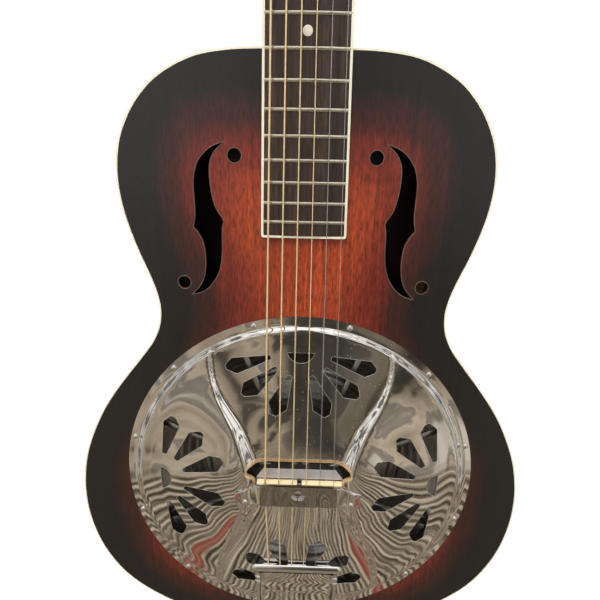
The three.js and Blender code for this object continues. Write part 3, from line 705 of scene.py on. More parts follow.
make_body()
keep_cad(("top_lining", "back_lining", "neck_block", "tail_block", "soundwell"), RAW_WOOD)
keep_cad(("truss_rod",), STEEL)


# ---- resonator ----
def crest_x(v):
    """Distance of the string channel's ridges from the middle, in straight pieces."""
    v = abs(v)
    for (v0, x0), (v1, x1) in zip(CREST, CREST[1:]):
        if v <= v1:
            return x0 + (x1 - x0) * (v - v0) / (v1 - v0)
    return CREST[-1][1]


CREST_FINE = [sum(crest_x(k + j) for j in range(-7, 8)) / 15 for k in range(0, 151)]


def crest(v):
    """The ridges' distance from the middle, smoothed."""
    v = min(abs(v), 149.0)
    k = int(v)
    return CREST_FINE[k] + (CREST_FINE[k + 1] - CREST_FINE[k]) * (v - k)


def cover_height(x, v):
    """Height of the coverplate's outer surface: flange, raised bead, wings and the lower string channel."""
    r = math.hypot(x, v)
    inward = smoothstep(126, 42, r)
    wing = 6.0 + 6.5 * inward
    channel = 4.2 + 2.8 * inward
    top = crest(v)
    draw = 12 - 8 * clamp((abs(v) - 50) / 42)
    side = smoothstep(top - draw, top + 0.5, abs(x))
    inner = channel + (wing - channel) * side
    step = smoothstep(136.3, 131.6, r)
    return FLANGE_W + (inner - FLANGE_W) * step


def fan(points, quarter):
    """Points drawn as (outwards, aside), turned to one of the four fans."""
    c, s = round(math.cos(quarter * math.pi / 2)), round(math.sin(quarter * math.pi / 2))
    return [(c * r - s * t, s * r + c * t) for r, t in points]


def half_disc():
    """Rounded opening at the middle of a fan, its flat side towards the rim."""
    arc_r, centre = 10.83, 117.03
    reach = math.asin(10.6 / arc_r)
    return [(centre - arc_r * math.cos(a), arc_r * math.sin(a))
            for a in (reach * (1 - k / 8) for k in range(17))]


def rounded(loop, radius, steps=3):
    out = []
    n = len(loop)
    for i in range(n):
        p, a, b = Vector(loop[i]), Vector(loop[i - 1]), Vector(loop[(i + 1) % n])
        r = min(radius, (a - p).length / 3, (b - p).length / 3)
        p0, p1 = p + (a - p).normalized() * r, p + (b - p).normalized() * r
        for k in range(steps + 1):
            t = k / steps
            out.append(tuple(p0 * (1 - t) ** 2 + p * 2 * t * (1 - t) + p1 * t * t))
    return out


def resampled(loop, step):
    out = []
    n = len(loop)
    for i in range(n):
        a, b = Vector(loop[i]), Vector(loop[(i + 1) % n])
        k = max(1, round((b - a).length / step))
        out += [tuple(a + (b - a) * j / k) for j in range(k)]
    return out


def opening_loop():
    return rounded(list(OPENING) + mirror(OPENING), 3)


def cover_holes():
    """The string opening, then four fans of a half disc and three pairs of petals."""
    holes = [opening_loop()]
    for quarter in range(4):
        holes.append(fan(half_disc(), quarter))
        for petal in PETALS:
            holes.append(rounded(fan(petal, quarter), 0.9))
            holes.append(rounded(fan([(r, -t) for r, t in petal], quarter), 0.9))
    return holes


def inside(loop, x, v):
    odd = False
    n = len(loop)
    for i in range(n):
        x0, v0 = loop[i - 1]
        x1, v1 = loop[i]
        if (v0 > v) != (v1 > v) and x < (x1 - x0) * (v - v0) / (v1 - v0) + x0:
            odd = not odd
    return odd


def make_coverplate():
    step = 1.9
    loops = [ring2d(COVER_R, 240)] + [resampled(h, 1.6) for h in cover_holes()]
    spans = [(min(p[0] for p in h), max(p[0] for p in h), min(p[1] for p in h), max(p[1] for p in h))
             for h in loops]

    def in_hole(x, v):
        return any(b[0] < x < b[1] and b[2] < v < b[3] and inside(h, x, v)
                   for h, b in zip(loops[1:], spans[1:]))

    points, edges = [], []
    for loop in loops:
        base = len(points)
        points += [Vector(p) for p in loop]
        edges += [(base + i, base + (i + 1) % len(loop)) for i in range(len(loop))]
    for r in (136.3, 135.5, 134.7, 133.9, 133.1, 132.3, 131.6, 139.4):
        points += [Vector(p) for p in ring2d(r, 300)]
    taken = set()
    cell = step * 0.6
    for p in points:
        i, j = int(p.x // cell), int(p.y // cell)
        taken.update((i + a, j + b) for a in (-1, 0, 1) for b in (-1, 0, 1))
    rows = int(2 * COVER_R / (step * 0.866)) + 1
    for j in range(rows):
        v = -COVER_R + j * step * 0.866
        for i in range(int(2 * COVER_R / step) + 2):
            x = -COVER_R + (i + 0.5 * (j % 2)) * step
            if x * x + v * v > (COVER_R - 1.5) ** 2 or (int(x // cell), int(v // cell)) in taken:
                continue
            if not in_hole(x, v):
                points.append(Vector((x, v)))
    flat, _, tris = delaunay_2d_cdt(points, edges, [], 0, 1e-5)[:3]
    kept = []
    for t in tris:
        c = (flat[t[0]] + flat[t[1]] + flat[t[2]]) / 3
        if not in_hole(c.x, c.y):
            kept.append(tuple(t))
    n = len(flat)
    heights = [cover_height(p.x, p.y) for p in flat]
    verts = [(p.x, p.y, h) for p, h in zip(flat, heights)]
    verts += [(p.x, p.y, max(h - COVER_T, 0.35)) for p, h in zip(flat, heights)]
    faces = kept + [tuple(i + n for i in reversed(t)) for t in kept]
    used = dict.fromkeys((a, b) for t in kept for a, b in zip(t, t[1:] + t[:1]))
    faces += [(b, a, a + n, b + n) for a, b in used if (b, a) not in used]
    obj = mesh_object("coverplate_shell", verts, faces, CHROME, angle=180, slot="chrome_plate",
                      replaces=("coverplate",))
    mesh = obj.data
    turn = FACE.to_3x3().normalized()
    e = 0.25
    normals = []
    for p in flat:
        gx = (cover_height(p.x + e, p.y) - cover_height(p.x - e, p.y)) / (2 * e)
        gv = (cover_height(p.x, p.y + e) - cover_height(p.x, p.y - e)) / (2 * e)
        normals.append((turn @ Vector((-gx, -gv, 1))).normalized())
    loop_normals = []
    for poly in mesh.polygons:
        ids = list(poly.vertices)
        if all(i < n for i in ids):
            loop_normals += [normals[i] for i in ids]
        elif all(i >= n for i in ids):
            loop_normals += [-normals[i - n] for i in ids]
        else:
            loop_normals += [poly.normal.copy()] * len(ids)
    mesh.normals_split_custom_set(loop_normals)


make_coverplate()


def rolled_lip():
    """Edge of the string opening, rolled down towards the spider and widest on the neck's side."""
    loop = [Vector(p) for p in resampled(opening_loop(), 1.5)]
    section = [(0, 0.02), (1.0, -0.05), (2.2, -0.25), (3.4, -0.65), (4.4, -1.4), (5.0, -2.6), (5.2, -3.8),
               (4.5, -3.8), (4.2, -2.9), (3.6, -2.0), (2.6, -1.4), (1.4, -1.1), (0.0, -0.9)]
    rings = []
    for i, p in enumerate(loop):
        t = (loop[(i + 2) % len(loop)] - loop[i - 2]).normalized()
        base = cover_height(p.x, p.y)
        width = 0.34 + 0.66 * smoothstep(0.2, 0.95, t.x)
        rings.append([(p.x + t.y * d * width, p.y - t.x * d * width, base + w) for d, w in section])
    n, k = len(rings), len(section)
    faces = [(i * k + j, i * k + (j + 1) % k, (i + 1) % n * k + (j + 1) % k, (i + 1) % n * k + j)
             for i in range(n) for j in range(k)]
    return [p for ring in rings for p in ring], faces


def make_cover_edges():
    """Fine beads round the coverplate's holes and rim and round the sound holes, and the opening's lip."""
    parts = [closed_tube([(x, v, cover_height(x, v) - 0.2) for x, v in resampled(loop, 3.0)], 0.26)
             for loop in cover_holes()]
    parts.append(closed_tube([(x, v, FLANGE_W - 0.3) for x, v in ring2d(COVER_R - 0.32, 240)], 0.3))
    mesh_object("coverplate_edges", *merge(*parts), BRIGHT, slot="chrome_plate", angle=80)
    hole = f_hole()
    loops = [hole, mirror(hole)] + [ring2d(F_DOT_R, 32, sign * x, v) for x, v in F_DOTS for sign in (1, -1)]
    # Glossy beads round the sound holes, paler than the top: partly painted highlight.
    parts = [closed_tube([(x, v, -0.14) for x, v in resampled(loop, 1.5)], 0.3) for loop in loops]
    mesh_object("sound_hole_edges", *merge(*parts), LACQUER_AND_PAINTED_HIGHLIGHT, slot="sunburst_top", angle=80)
    mesh_object("opening_lip", *rolled_lip(), LIP_METAL, slot="chrome_plate", angle=60)


make_cover_edges()


def make_screws():
    dome = lathe([(0, 1.5), (0.9, 1.42), (1.6, 1.15), (2.2, 0.55), (2.3, 0.0), (2.3, -0.1)], 20)
    around = [math.radians(15 + 30 * k) for k in range(12)]
    heads = [moved(dome, shift(SCREW_R * math.cos(a), SCREW_R * math.sin(a), FLANGE_W)) for a in around]
    mesh_object("coverplate_screws", *merge(*heads), BRIGHT, slot="chrome_plate")
    heads = [moved(dome, shift(s * 44.0, -16, 14.0)) for s in (-1, 1)]
    mesh_object("palm_rest_screws", *merge(*heads), BRIGHT, slot="chrome_plate")


make_screws()


def palm_span(x):
    """Lowest and highest v of the palm rest at x."""
    x = abs(x)
    low = -13.0 - 7.0 * smoothstep(32, 43, x)
    high = 7.4 - 3.4 * smoothstep(26, 35, x) - 9 * clamp((x - 35) / 9) - 3 * clamp((x - 44) / 8)
    return low, high


def make_palm_rest():
    """Bridge of bent plate over the saddle, pressed in round the tension screw's hole."""
    foot, t = 12.8, 1.2
    line = [(-51.9, foot + t), (-43.5, foot + t), (-41, foot + 1.9), (-33.4, 19.9), (-31, 21.8),
            (-29, PALM_TOP)]
    side = [(p.x, p.y) for p in catmull(line, 4)]
    middle = [(-29 + 58 * k / 64, PALM_TOP) for k in range(1, 64)]
    path = side + middle + [(-x, w) for x, w in reversed(side)]
    cols = 30
    hole_v, hole_r = -1.3, 3.0

    def press(x, v, w, low, high):
        r = math.hypot(x, v - hole_v)
        if w > PALM_TOP - 1:
            w -= 1.6 * smoothstep(6.4, 3.2, r)
        edge = min(v - low, high - v)
        if edge < 0.5:
            w -= 0.2 * (1 - edge / 0.5) ** 2
        return (x, v, w)

    rows, n = len(path), cols + 1
    top = []
    for x, w in path:
        low, high = palm_span(x)
        top += [press(x, low + (high - low) * k / cols, w, low, high) for k in range(n)]
    verts, count = list(top), len(top)
    for i in range(rows):
        for k in range(n):
            ahead = Vector(top[min(i + 1, rows - 1) * n + k]) - Vector(top[max(i - 1, 0) * n + k])
            normal = ahead.cross(Vector((0, 1, 0))).normalized()
            verts.append(tuple(Vector(top[i * n + k]) - normal * math.copysign(t, normal.z)))
    faces = []
    for i in range(rows - 1):
        for k in range(cols):
            a = i * n + k
            c = [verts[j] for j in (a, a + 1, a + n + 1, a + n)]
            if math.hypot(sum(p[0] for p in c) / 4, sum(p[1] for p in c) / 4 - hole_v) < hole_r:
                continue
            faces.append((a, a + 1, a + n + 1, a + n))
            faces.append((a + count + n, a + count + n + 1, a + count + 1, a + count))
    used = {(a, b) for f in faces[::2] for a, b in zip(f, f[1:] + f[:1])}
    faces += [(b, a, a + count, b + count) for a, b in used if (b, a) not in used]
    # Faces nearer the middle than 31.5 mm take the darker chrome copy, painted shade; the ends take the plain
    # chrome.
    marks = [int(abs(verts[f[0]][0]) > 31.5) for f in faces]
    mesh_object("palm_rest_shell", verts, faces, PALM_CHROME_PAINTED_SHADE, extra=(CHROME,), face_slots=marks, angle=50,
                slot="chrome_plate", replaces=("palm_rest",))


make_palm_rest()


def make_cone():
    outer = [(133.4, -8.5), (126.5, -8.5), (124, -9.4), (112, -17.0), (104, -22.6), (96, -28.4), (91, -31.6),
             (88, -32.7), (84.5, -32.4), (78, -30.6), (60, -26.8), (44, -23.8), (30, -21.6), (20, -20.4),
             (14, -19.3), (9, -18.9), (4.2, -18.9)]
    ribbed = []
    for p in catmull(outer, 7):
        ripple = 0.28 * math.sin(p.x * 1.05) * smoothstep(124, 112, p.x) * smoothstep(10, 24, p.x)
        ribbed.append((p.x, p.y + ripple))
    under = [(r, w - 0.9) for r, w in reversed(ribbed)]
    part = lathe(ribbed + under + [ribbed[0]], 120)
    mesh_object("cone_shell", *part, CONE_METAL, slot="spun_aluminium", replaces=("cone",))


make_cone()


def make_spider():
    hub = [(30, -12.5), (36, -4.5), (36, 4.5), (30, 12.5), (-30, 12.5), (-36, 4.5), (-36, -4.5), (-30, -12.5)]
    slot_loop = [(-35.3, -1.7), (35.3, -1.7), (35.3, 1.7), (-35.3, 1.7)]
    verts, faces, caps = plate([hub, slot_loop], -1.9, HUB_TOP - 0.05)
    floor = block(-35.6, 35.6, -2.2, 2.2, -1.7, 2.9)
    # The hub's side walls and slot floor take the darker alloy as painted shade under the coverplate's lip;
    # its top faces take the hub alloy.
    marks = [0] * caps + [1] * (len(faces) - caps + len(floor[1]))
    hub = mesh_object("spider_hub", *merge((verts, faces), floor), HUB_METAL, matrix=BRIDGE, extra=(CAST_AND_PAINTED_SHADE,),
                      face_slots=marks, slot="cast_aluminium", replaces=("spider",))
    bevelled(hub, 0.9, 3, 50)
    sections = ((4, -1.6, 2.6, 4.6), (12, -1.3, 3.4, 3.6), (30, -1.0, 4.2, 3.0), (60, -1.6, 4.4, 2.8),
                (90, -3.0, 4.0, 2.7), (112, -4.4, 3.4, 2.8), (122, -5.4, 2.6, 3.2), (127.5, -6.6, 1.5, 3.6),
                (129.5, -7.5, 0.6, 3.4))
    leg = loft([[(r, wide * math.cos(a), w + deep / 2 * math.sin(a))
                 for a in (2 * math.pi * (j + 0.5) / 12 for j in range(12))]
                for r, w, deep, wide in sections])
    legs = [moved(leg, Matrix.Rotation(math.radians(22.5 + 45 * k), 4, "Z")) for k in range(8)]
    mesh_object("spider_legs", *merge(*legs), CAST_AND_PAINTED_SHADE, matrix=BRIDGE, slot="cast_aluminium", angle=50)


make_spider()


def make_saddles():
    places = [SPREAD_SADDLE / 2 - SPREAD_SADDLE * i / 5 for i in range(6)]
    for sign, node in ((-1, "saddle_bass"), (1, "saddle_treble")):
        x0, x1 = (2.0, 35.0) if sign > 0 else (-35.0, -2.0)
        n = 62
        rings = []
        for k in range(n + 1):
            x = x0 + (x1 - x0) * k / n
            top = notched(x, places, SADDLE_TOP, 0.35, 0.45)
            rings.append([(x, -1.5, 3.3), (x, 1.5, 3.3), (x, 1.5, top - 0.6), (x, 0.9, top), (x, -0.5, top),
                          (x, -1.5, top - 1.0)])
        mesh_object(node + "_insert", *loft(rings), SADDLE, matrix=BRIDGE, slot="saddle_maple",
                    replaces=(node,), angle=40)
    head = lathe([(0, 2.4), (0.9, 2.4), (1.1, 2.95), (1.9, 2.95), (2.2, 2.6), (2.2, 0.3), (1.6, 0.2),
                  (1.6, -25), (0, -25)], 24)
    mesh_object("tension_screw_turned", *head, STEEL, matrix=BRIDGE, slot="plain_steel",
                replaces=("tension_screw",))


make_saddles()


# ---- neck, board and headstock ----
CAMBER = 1 / (2 * 330.0)


def board_section(v, inset_x, low, n=14):
    half = board_half(v) - inset_x
    top = [(half * (1 - 2 * k / n), v, BOARD_TOP + 0.35 - CAMBER * (half * (1 - 2 * k / n)) ** 2)
           for k in range(n + 1)]
    return [(-half, v, low), (half, v, low)] + top


def make_board():
    v1 = NUT_V
    stations = [BOARD_END_V + BOARD_BIND + k * (v1 - BOARD_END_V - BOARD_BIND) / 30 for k in range(31)]
    rings = [board_section(v, BOARD_BIND, 0.3) for v in stations]
    mesh_object("rosewood_board", *loft(rings), ROSEWOOD, slot="rosewood", replaces=("fingerboard",))

    def edge_loop(d, rounding):
        start = BOARD_END_V + d
        a, b = board_half(start) - d, board_half(v1) - d
        right = [(b, v1), (a, start + rounding)]
        arc = [(a - rounding + rounding * math.cos(t), start + rounding - rounding * math.sin(t))
               for t in (math.pi / 2 * k / 6 for k in range(1, 7))]
        return right + arc

    outer, inner = edge_loop(0, 1.8), edge_loop(BOARD_BIND, 0.8)
    loop = outer + [(-x, v) for x, v in reversed(outer)]
    back = inner + [(-x, v) for x, v in reversed(inner)]
    verts, faces, _ = plate([loop + back[::-1]], 0.3, BOARD_TOP - 0.35)
    bevelled(mesh_object("board_edge_binding", verts, faces, CREAM, slot="cream_binding",
                         replaces=("fingerboard_binding",)), 0.35, 2)


make_board()


def fret_v(k):
    return NUT_V * 2 ** (-k / 12.0)


def make_frets():
    parts = []
    crown = ((-1.25, -0.1), (-1.2, 0.25), (-0.75, 0.72), (0, 0.92), (0.75, 0.72), (1.2, 0.25), (1.25, -0.1))
    for k in range(1, 20):
        v = fret_v(k)
        half = board_half(v) - 0.25
        rings = []
        for j in range(13):
            x = half * (-1 + 2 * j / 12)
            end = 0.55 if j in (0, 12) else 0.0
            base = BOARD_TOP + 0.30 - CAMBER * x * x
            rings.append([(x, v + dv, base + h * (1 - end) + (0.0 if h > 0 else -0.5)) for dv, h in crown])
        parts.append(loft(rings))
    mesh_object("frets", *merge(*parts), FRET_METAL, slot="plain_steel", angle=60)


make_frets()


def make_dots():
    disc = lathe([(0, BOARD_TOP + 0.42), (2.9, BOARD_TOP + 0.40), (3.1, BOARD_TOP + 0.34),
                  (3.1, BOARD_TOP - 0.6), (0, BOARD_TOP - 0.6)], 32)
    parts = [moved(disc, shift(0, (fret_v(k) + fret_v(k - 1)) / 2, 0)) for k in (3, 5, 7, 9, 12)]
    mesh_object("position_dots", *merge(*parts), PEARL, slot="bone")


make_dots()


def make_nut():
    places = [string_x(i, SPREAD_NUT) for i in range(6)]
    half = board_half(NUT_V) - 0.2
    n = 80
    rings = []
    for k in range(n + 1):
        x = half * (-1 + 2 * k / n)
        top = notched(x, places, NUT_TOP, 0.5, 0.3)
        v0, v1 = NUT_V + 0.05, NUT_V + NUT_T
        rings.append([(x, v0, 0.3), (x, v1, 0.3), (x, v1, top - 1.6), (x, v1 - 0.8, top - 0.7),
                      (x, v0 + 0.9, top), (x, v0 + 0.2, top - 0.1), (x, v0, top - 0.5)])
    mesh_object("bone_nut", *loft(rings), BONE, slot="bone", replaces=("nut",), angle=40)


make_nut()


def neck_depth(v):
    """How far the neck's back stands behind the board, from the heel to the nut."""
    u = v - HEEL_V
    shaft = 15.6 - 1.1 * clamp((v - 400) / 230)
    heel = 68 - 3 * smoothstep(0, 9, u)
    if u < 9:
        return heel
    t = clamp((u - 9) / 58)
    drop = (1 - t) ** 2.6
    return shaft + (65 - shaft) * drop


def make_neck():
    steps = (0, 1.5, 4, 7, 9, 10.5, 12, 14, 16.5, 19, 22, 26, 30, 35, 41, 48, 56, 66, 80)
    stations = [HEEL_V + d for d in steps]
    stations += [420 + 20 * k for k in range(11)] + [632, 638, HEAD_V + 3]
    rings = []
    n = 40
    for v in stations:
        half = board_half(min(v, NUT_V + NUT_T)) - 0.15
        depth = neck_depth(v)
        heel = clamp((depth - 18) / 48)
        ring = []
        for k in range(n + 1):
            a = math.pi * k / n
            power = 1.0 - 0.25 * heel
            x = half * math.copysign(abs(math.cos(a)) ** power, math.cos(a))
            w = -depth * math.sin(a) ** 0.92
            narrow = 1 - 0.52 * heel * clamp(-w / 66) ** 0.8
            ring.append((x * narrow, v, w))
        rings.append(ring[::-1])
    mesh_object("neck_shaft", *loft(rings), NECK_WOOD, slot="neck_wood", replaces=("neck",), angle=50)
    right = [(23.3, -6), (23.7, 4), (25.0, 11), (28.6, 19), (33.4, 27.5), (36.6, 37), (38, 48), (39.2, 100),
             (40.5, 150), (39.6, 160), (35, 167), (27, 171.5), (17, 173.2), (9, 175.5), (0, 177.6)]
    curve = [(p.x, p.y) for p in catmull(right, 5)]
    loop = curve + [(-x, s) for x, s in reversed(curve[:-1])]
    holes = [ring2d(POST_R + 0.7, 28, sx * POST_X, s) for sx in (-1, 1) for s in POST_S]
    verts, faces, _ = plate([loop] + holes, -HEAD_T, -1.3)
    bevelled(mesh_object("headstock_core", verts, faces, NECK_WOOD, matrix=HEAD, slot="neck_wood"),
             1.4, 3, 60)
    verts, faces, _ = plate([loop] + holes, -1.3, -0.05)
    bevelled(mesh_object("headstock_veneer", verts, faces, ROSEWOOD, matrix=HEAD, slot="rosewood"),
             0.4, 2, 60)
    cover = [(10, 4), (11.5, 10), (11.5, 16), (9.5, 26), (5, 36), (0, 42)]
    edge = [(p.x, p.y) for p in catmull(cover, 4)]
    verts, faces, _ = plate([edge + [(-x, s) for x, s in reversed(edge[:-1])]], 0.0, 2.1)
    bevelled(mesh_object("truss_cover_plate", verts, faces, BLACK, matrix=HEAD, slot="black_plastic",
                         replaces=("truss_rod_cover",)), 0.6, 2, 60)
    heads = [moved(lathe([(0, 0.9), (0.8, 0.82), (1.5, 0.45), (1.7, 0.0)], 16), shift(x, s, 2.1))
             for x, s in ((-7.6, 9), (7.6, 9), (0, 36))]
    mesh_object("truss_cover_screws", *merge(*heads), NICKEL, matrix=HEAD, slot="nickel_plate")


make_neck()


# ---- strings ----
def in_head(x, s, h):
    """A place on the tilted headstock, in the face frame."""
    return tuple(Matrix.Translation((0, HEAD_V, 0)) @ Matrix.Rotation(-HEAD_TILT, 4, "X") @ Vector((x, s, h)))


def make_strings():
    for i in range(6):
        r = STRING_R[i]
        sign = 1 if i < 3 else -1
        s = POST_S[i if i < 3 else 5 - i]
        nut_w = NUT_TOP - 0.35 + r + 0.05
        nut_x = string_x(i, SPREAD_NUT)
        path = [in_head(sign * (POST_X - POST_R - r), s, 5.0), (nut_x, NUT_V + NUT_T - 0.7, nut_w - 0.55),
                (nut_x, NUT_V + 2.2, nut_w), (nut_x, NUT_V, nut_w)]
        end = (string_x(i, SPREAD_SADDLE), -0.4, SADDLE_TOP - 0.2 + r)
        start = Vector(path[-1])
        path += [tuple(start + (Vector(end) - start) * k / 6) for k in range(1, 7)]
        kind = PLAIN if i < 2 else WOUND
        slot = "plain_string" if i < 2 else "wound_string"
        mesh_object(f"string_{i + 1}_wire", *tube(path, r, 12), kind, slot=slot,
                    replaces=(f"string_{i + 1}",), angle=60)
        tail = [(end[0], end[1] + 0.1, end[2]), (end[0], -2.2, end[2] - 0.12),
                (string_x(i, SPREAD_TAIL), -87.2, 8.6), (string_x(i, SPREAD_TAIL), -89.5, 8.3)]
        mesh_object(f"string_{i + 1}_tail_wire", *tube(tail, r, 12), kind, body="tailpiece", slot=slot,
                    replaces=(f"string_tail_{i + 1}",), angle=60)


make_strings()


# ---- tailpiece ----
def tail_web():
    """Bent plate between the legs: two gently crowned fields, a crease across and turned-up sides."""
    top_v, crease_v, low_v = -96.4, -119, -158.6
    rows = [top_v + (low_v - top_v) * k / 40 for k in range(41)]
    side = (29.0, 30.0, 30.8, 31.6, 32.4)
    columns = [-x for x in reversed(side)] + list(range(-28, 29, 2)) + list(side)
    verts = []
    for face in (0.0, -1.0):
        for v in rows:
            start, span = (top_v, 22.6) if v > crease_v else (crease_v, 39.6)
            crown = 0.8 * math.sin(math.pi * clamp((start - v) / span))
            for x in columns:
                rib = 0.75 * smoothstep(29.2, 30.8, abs(x))
                verts.append((x, v, HINGE_W + (v - HINGE_V) * LEG_SLOPE + 0.1 + face + max(crown, rib)))
    n, m = len(columns), len(rows)
    faces = []
    for i in range(m - 1):
        for k in range(n - 1):
            a = i * n + k
            faces.append((a, a + 1, a + n + 1, a + n))
            faces.append(tuple(j + n * m for j in (a + n, a + n + 1, a + 1, a)))
    rim = [k for k in range(n)] + [i * n + n - 1 for i in range(1, m)]
    rim += [(m - 1) * n + k for k in range(n - 2, -1, -1)] + [i * n for i in range(m - 2, 0, -1)]
    faces += [(b, a, a + n * m, b + n * m) for a, b in zip(rim, rim[1:] + rim[:1])]
    return verts, faces


def on_hinge(stations, radius, segments=20):
    """Rod along the tailpiece's hinge."""
    return tube([(x, HINGE_V, HINGE_W) for x in stations], radius, segments)


def make_tailpiece():
    half = 40.0
    rings = []
    profile = [(-94.4, 6.6), (-93.8, 6.25), (-90, 6.2), (-87.6, 6.3), (-87.0, 6.9), (-87.0, 8.2),
               (-87.3, 9.2), (-88.1, 10.0), (-89.4, 10.5), (-91.2, 10.65), (-93.2, 10.4), (-94.2, 9.7),
               (-94.4, 8.8)]
    cv = sum(p[0] for p in profile) / len(profile)
    cw = sum(p[1] for p in profile) / len(profile)
    ends = ((0.0, 0.25), (0.35, 0.55), (1.0, 0.8), (2.0, 0.95), (3.2, 1.0))
    stations = [(-half + d, k) for d, k in ends] + [(x, 1.0) for x in range(-36, 37, 4)]
    stations += [(half - d, k) for d, k in reversed(ends)]
    for x, k in sorted(stations):
        rings.append([(x, cv + (v - cv) * k, cw + (w - cw) * k) for v, w in profile])
    mesh_object("string_bar", *loft(rings), BRIGHT, body="tailpiece", slot="chrome_plate",
                replaces=("tailpiece_bar",), angle=38)
    parts, nuts = [], []
    for sign in (-1, 1):
        x = sign * LEG_X
        line = [(x, HINGE_V, HINGE_W), (x, -160, 3.65), (x, -120, 6.7), (x, -94.6, 8.6)]
        parts.append(tube(catmull(line, 4), 1.85, 20))
        parts.append(on_hinge([sign * a for a in (9.5, 9.9, 36.4, 37)], [1.9, 2.35, 2.35, 1.9]))
        for v0, v1 in ((-108, -104.6), (-102.4, -99)):
            w0, w1 = (8.6 + (v + 94.9) * 0.0767 for v in (v0, v1))
            nuts.append(tube([(x, v0, w0), (x, v0 + 0.5, w0), (x, v1 - 0.5, w1), (x, v1, w1)],
                             [2.5, 2.9, 2.9, 2.5], 6))
        nuts.append(tube([(x, -105, 7.8), (x, -102, 8.05)], 2.2, 20))
    mesh_object("trapeze_frame", *merge(*parts), BRIGHT, body="tailpiece", slot="chrome_plate",
                replaces=("tailpiece_frame",), angle=50)
    mesh_object("trapeze_plate", *tail_web(), CHROME, body="tailpiece", slot="chrome_plate", angle=12)
    mesh_object("trapeze_nuts", *merge(*nuts), BRIGHT, body="tailpiece", slot="chrome_plate", angle=30)
    strap = [(-20, -1.4), (-20, -44), (-14, -52), (14, -52), (20, -44), (20, -1.4), (9, -1.4), (9, 2.4),
             (-9, 2.4), (-9, -1.4)]
    turn = Matrix(((1, 0, 0, 0), (0, 0, 1, 0), (0, 1, 0, 0), (0, 0, 0, 1)))
    loops = [strap, ring2d(4.4, 24, 0, -35)]
    verts, faces, _ = plate(loops, TAIL_V - 2.4, TAIL_V - 0.5)
    strap_part = ([turn @ Vector(p) for p in verts], faces)
    knuckle = on_hinge((-9, -8.6, 8.6, 9), [2.0, 2.35, 2.35, 2.0])
    pin = on_hinge((-9.5, 9.5), 1.0, 12)
    mesh_object("tail_bracket", *merge(strap_part, knuckle, pin), BRIGHT, slot="chrome_plate",
                replaces=("hinge_bracket",), angle=35)
    head = lathe([(0, 1.4), (1.2, 1.25), (2.1, 0.7), (2.3, 0.0)], 16, "v")
    turn = Matrix.Rotation(math.pi, 4, "X")
    screws = [moved(head, shift(x, TAIL_V - 2.4, -12) @ turn) for x in (-13, 13)]
    mesh_object("tail_bracket_screws", *merge(*screws), BRIGHT, slot="chrome_plate", angle=50)
    button = [(6.5, -17), (9.2, -16.2), (10.4, -14.4), (10.4, -12.4), (9.0, -10.4), (6.8, -8.6), (5.9, -6.5),
              (6.3, -4.2), (7.0, -2.9)]
    turned = [(0, -17.0)] + [(p.x, max(p.y, -17.0)) for p in catmull(button, 4)]
    verts, faces = lathe(turned + [(4, -2.7), (4, -0.6), (0, -0.6)], 40, "v")
    mesh_object("strap_button", [(x, v + TAIL_V, w - 35) for x, v, w in verts], faces, BLACK,
                slot="black_plastic", replaces=("end_button",), angle=50)


make_tailpiece()


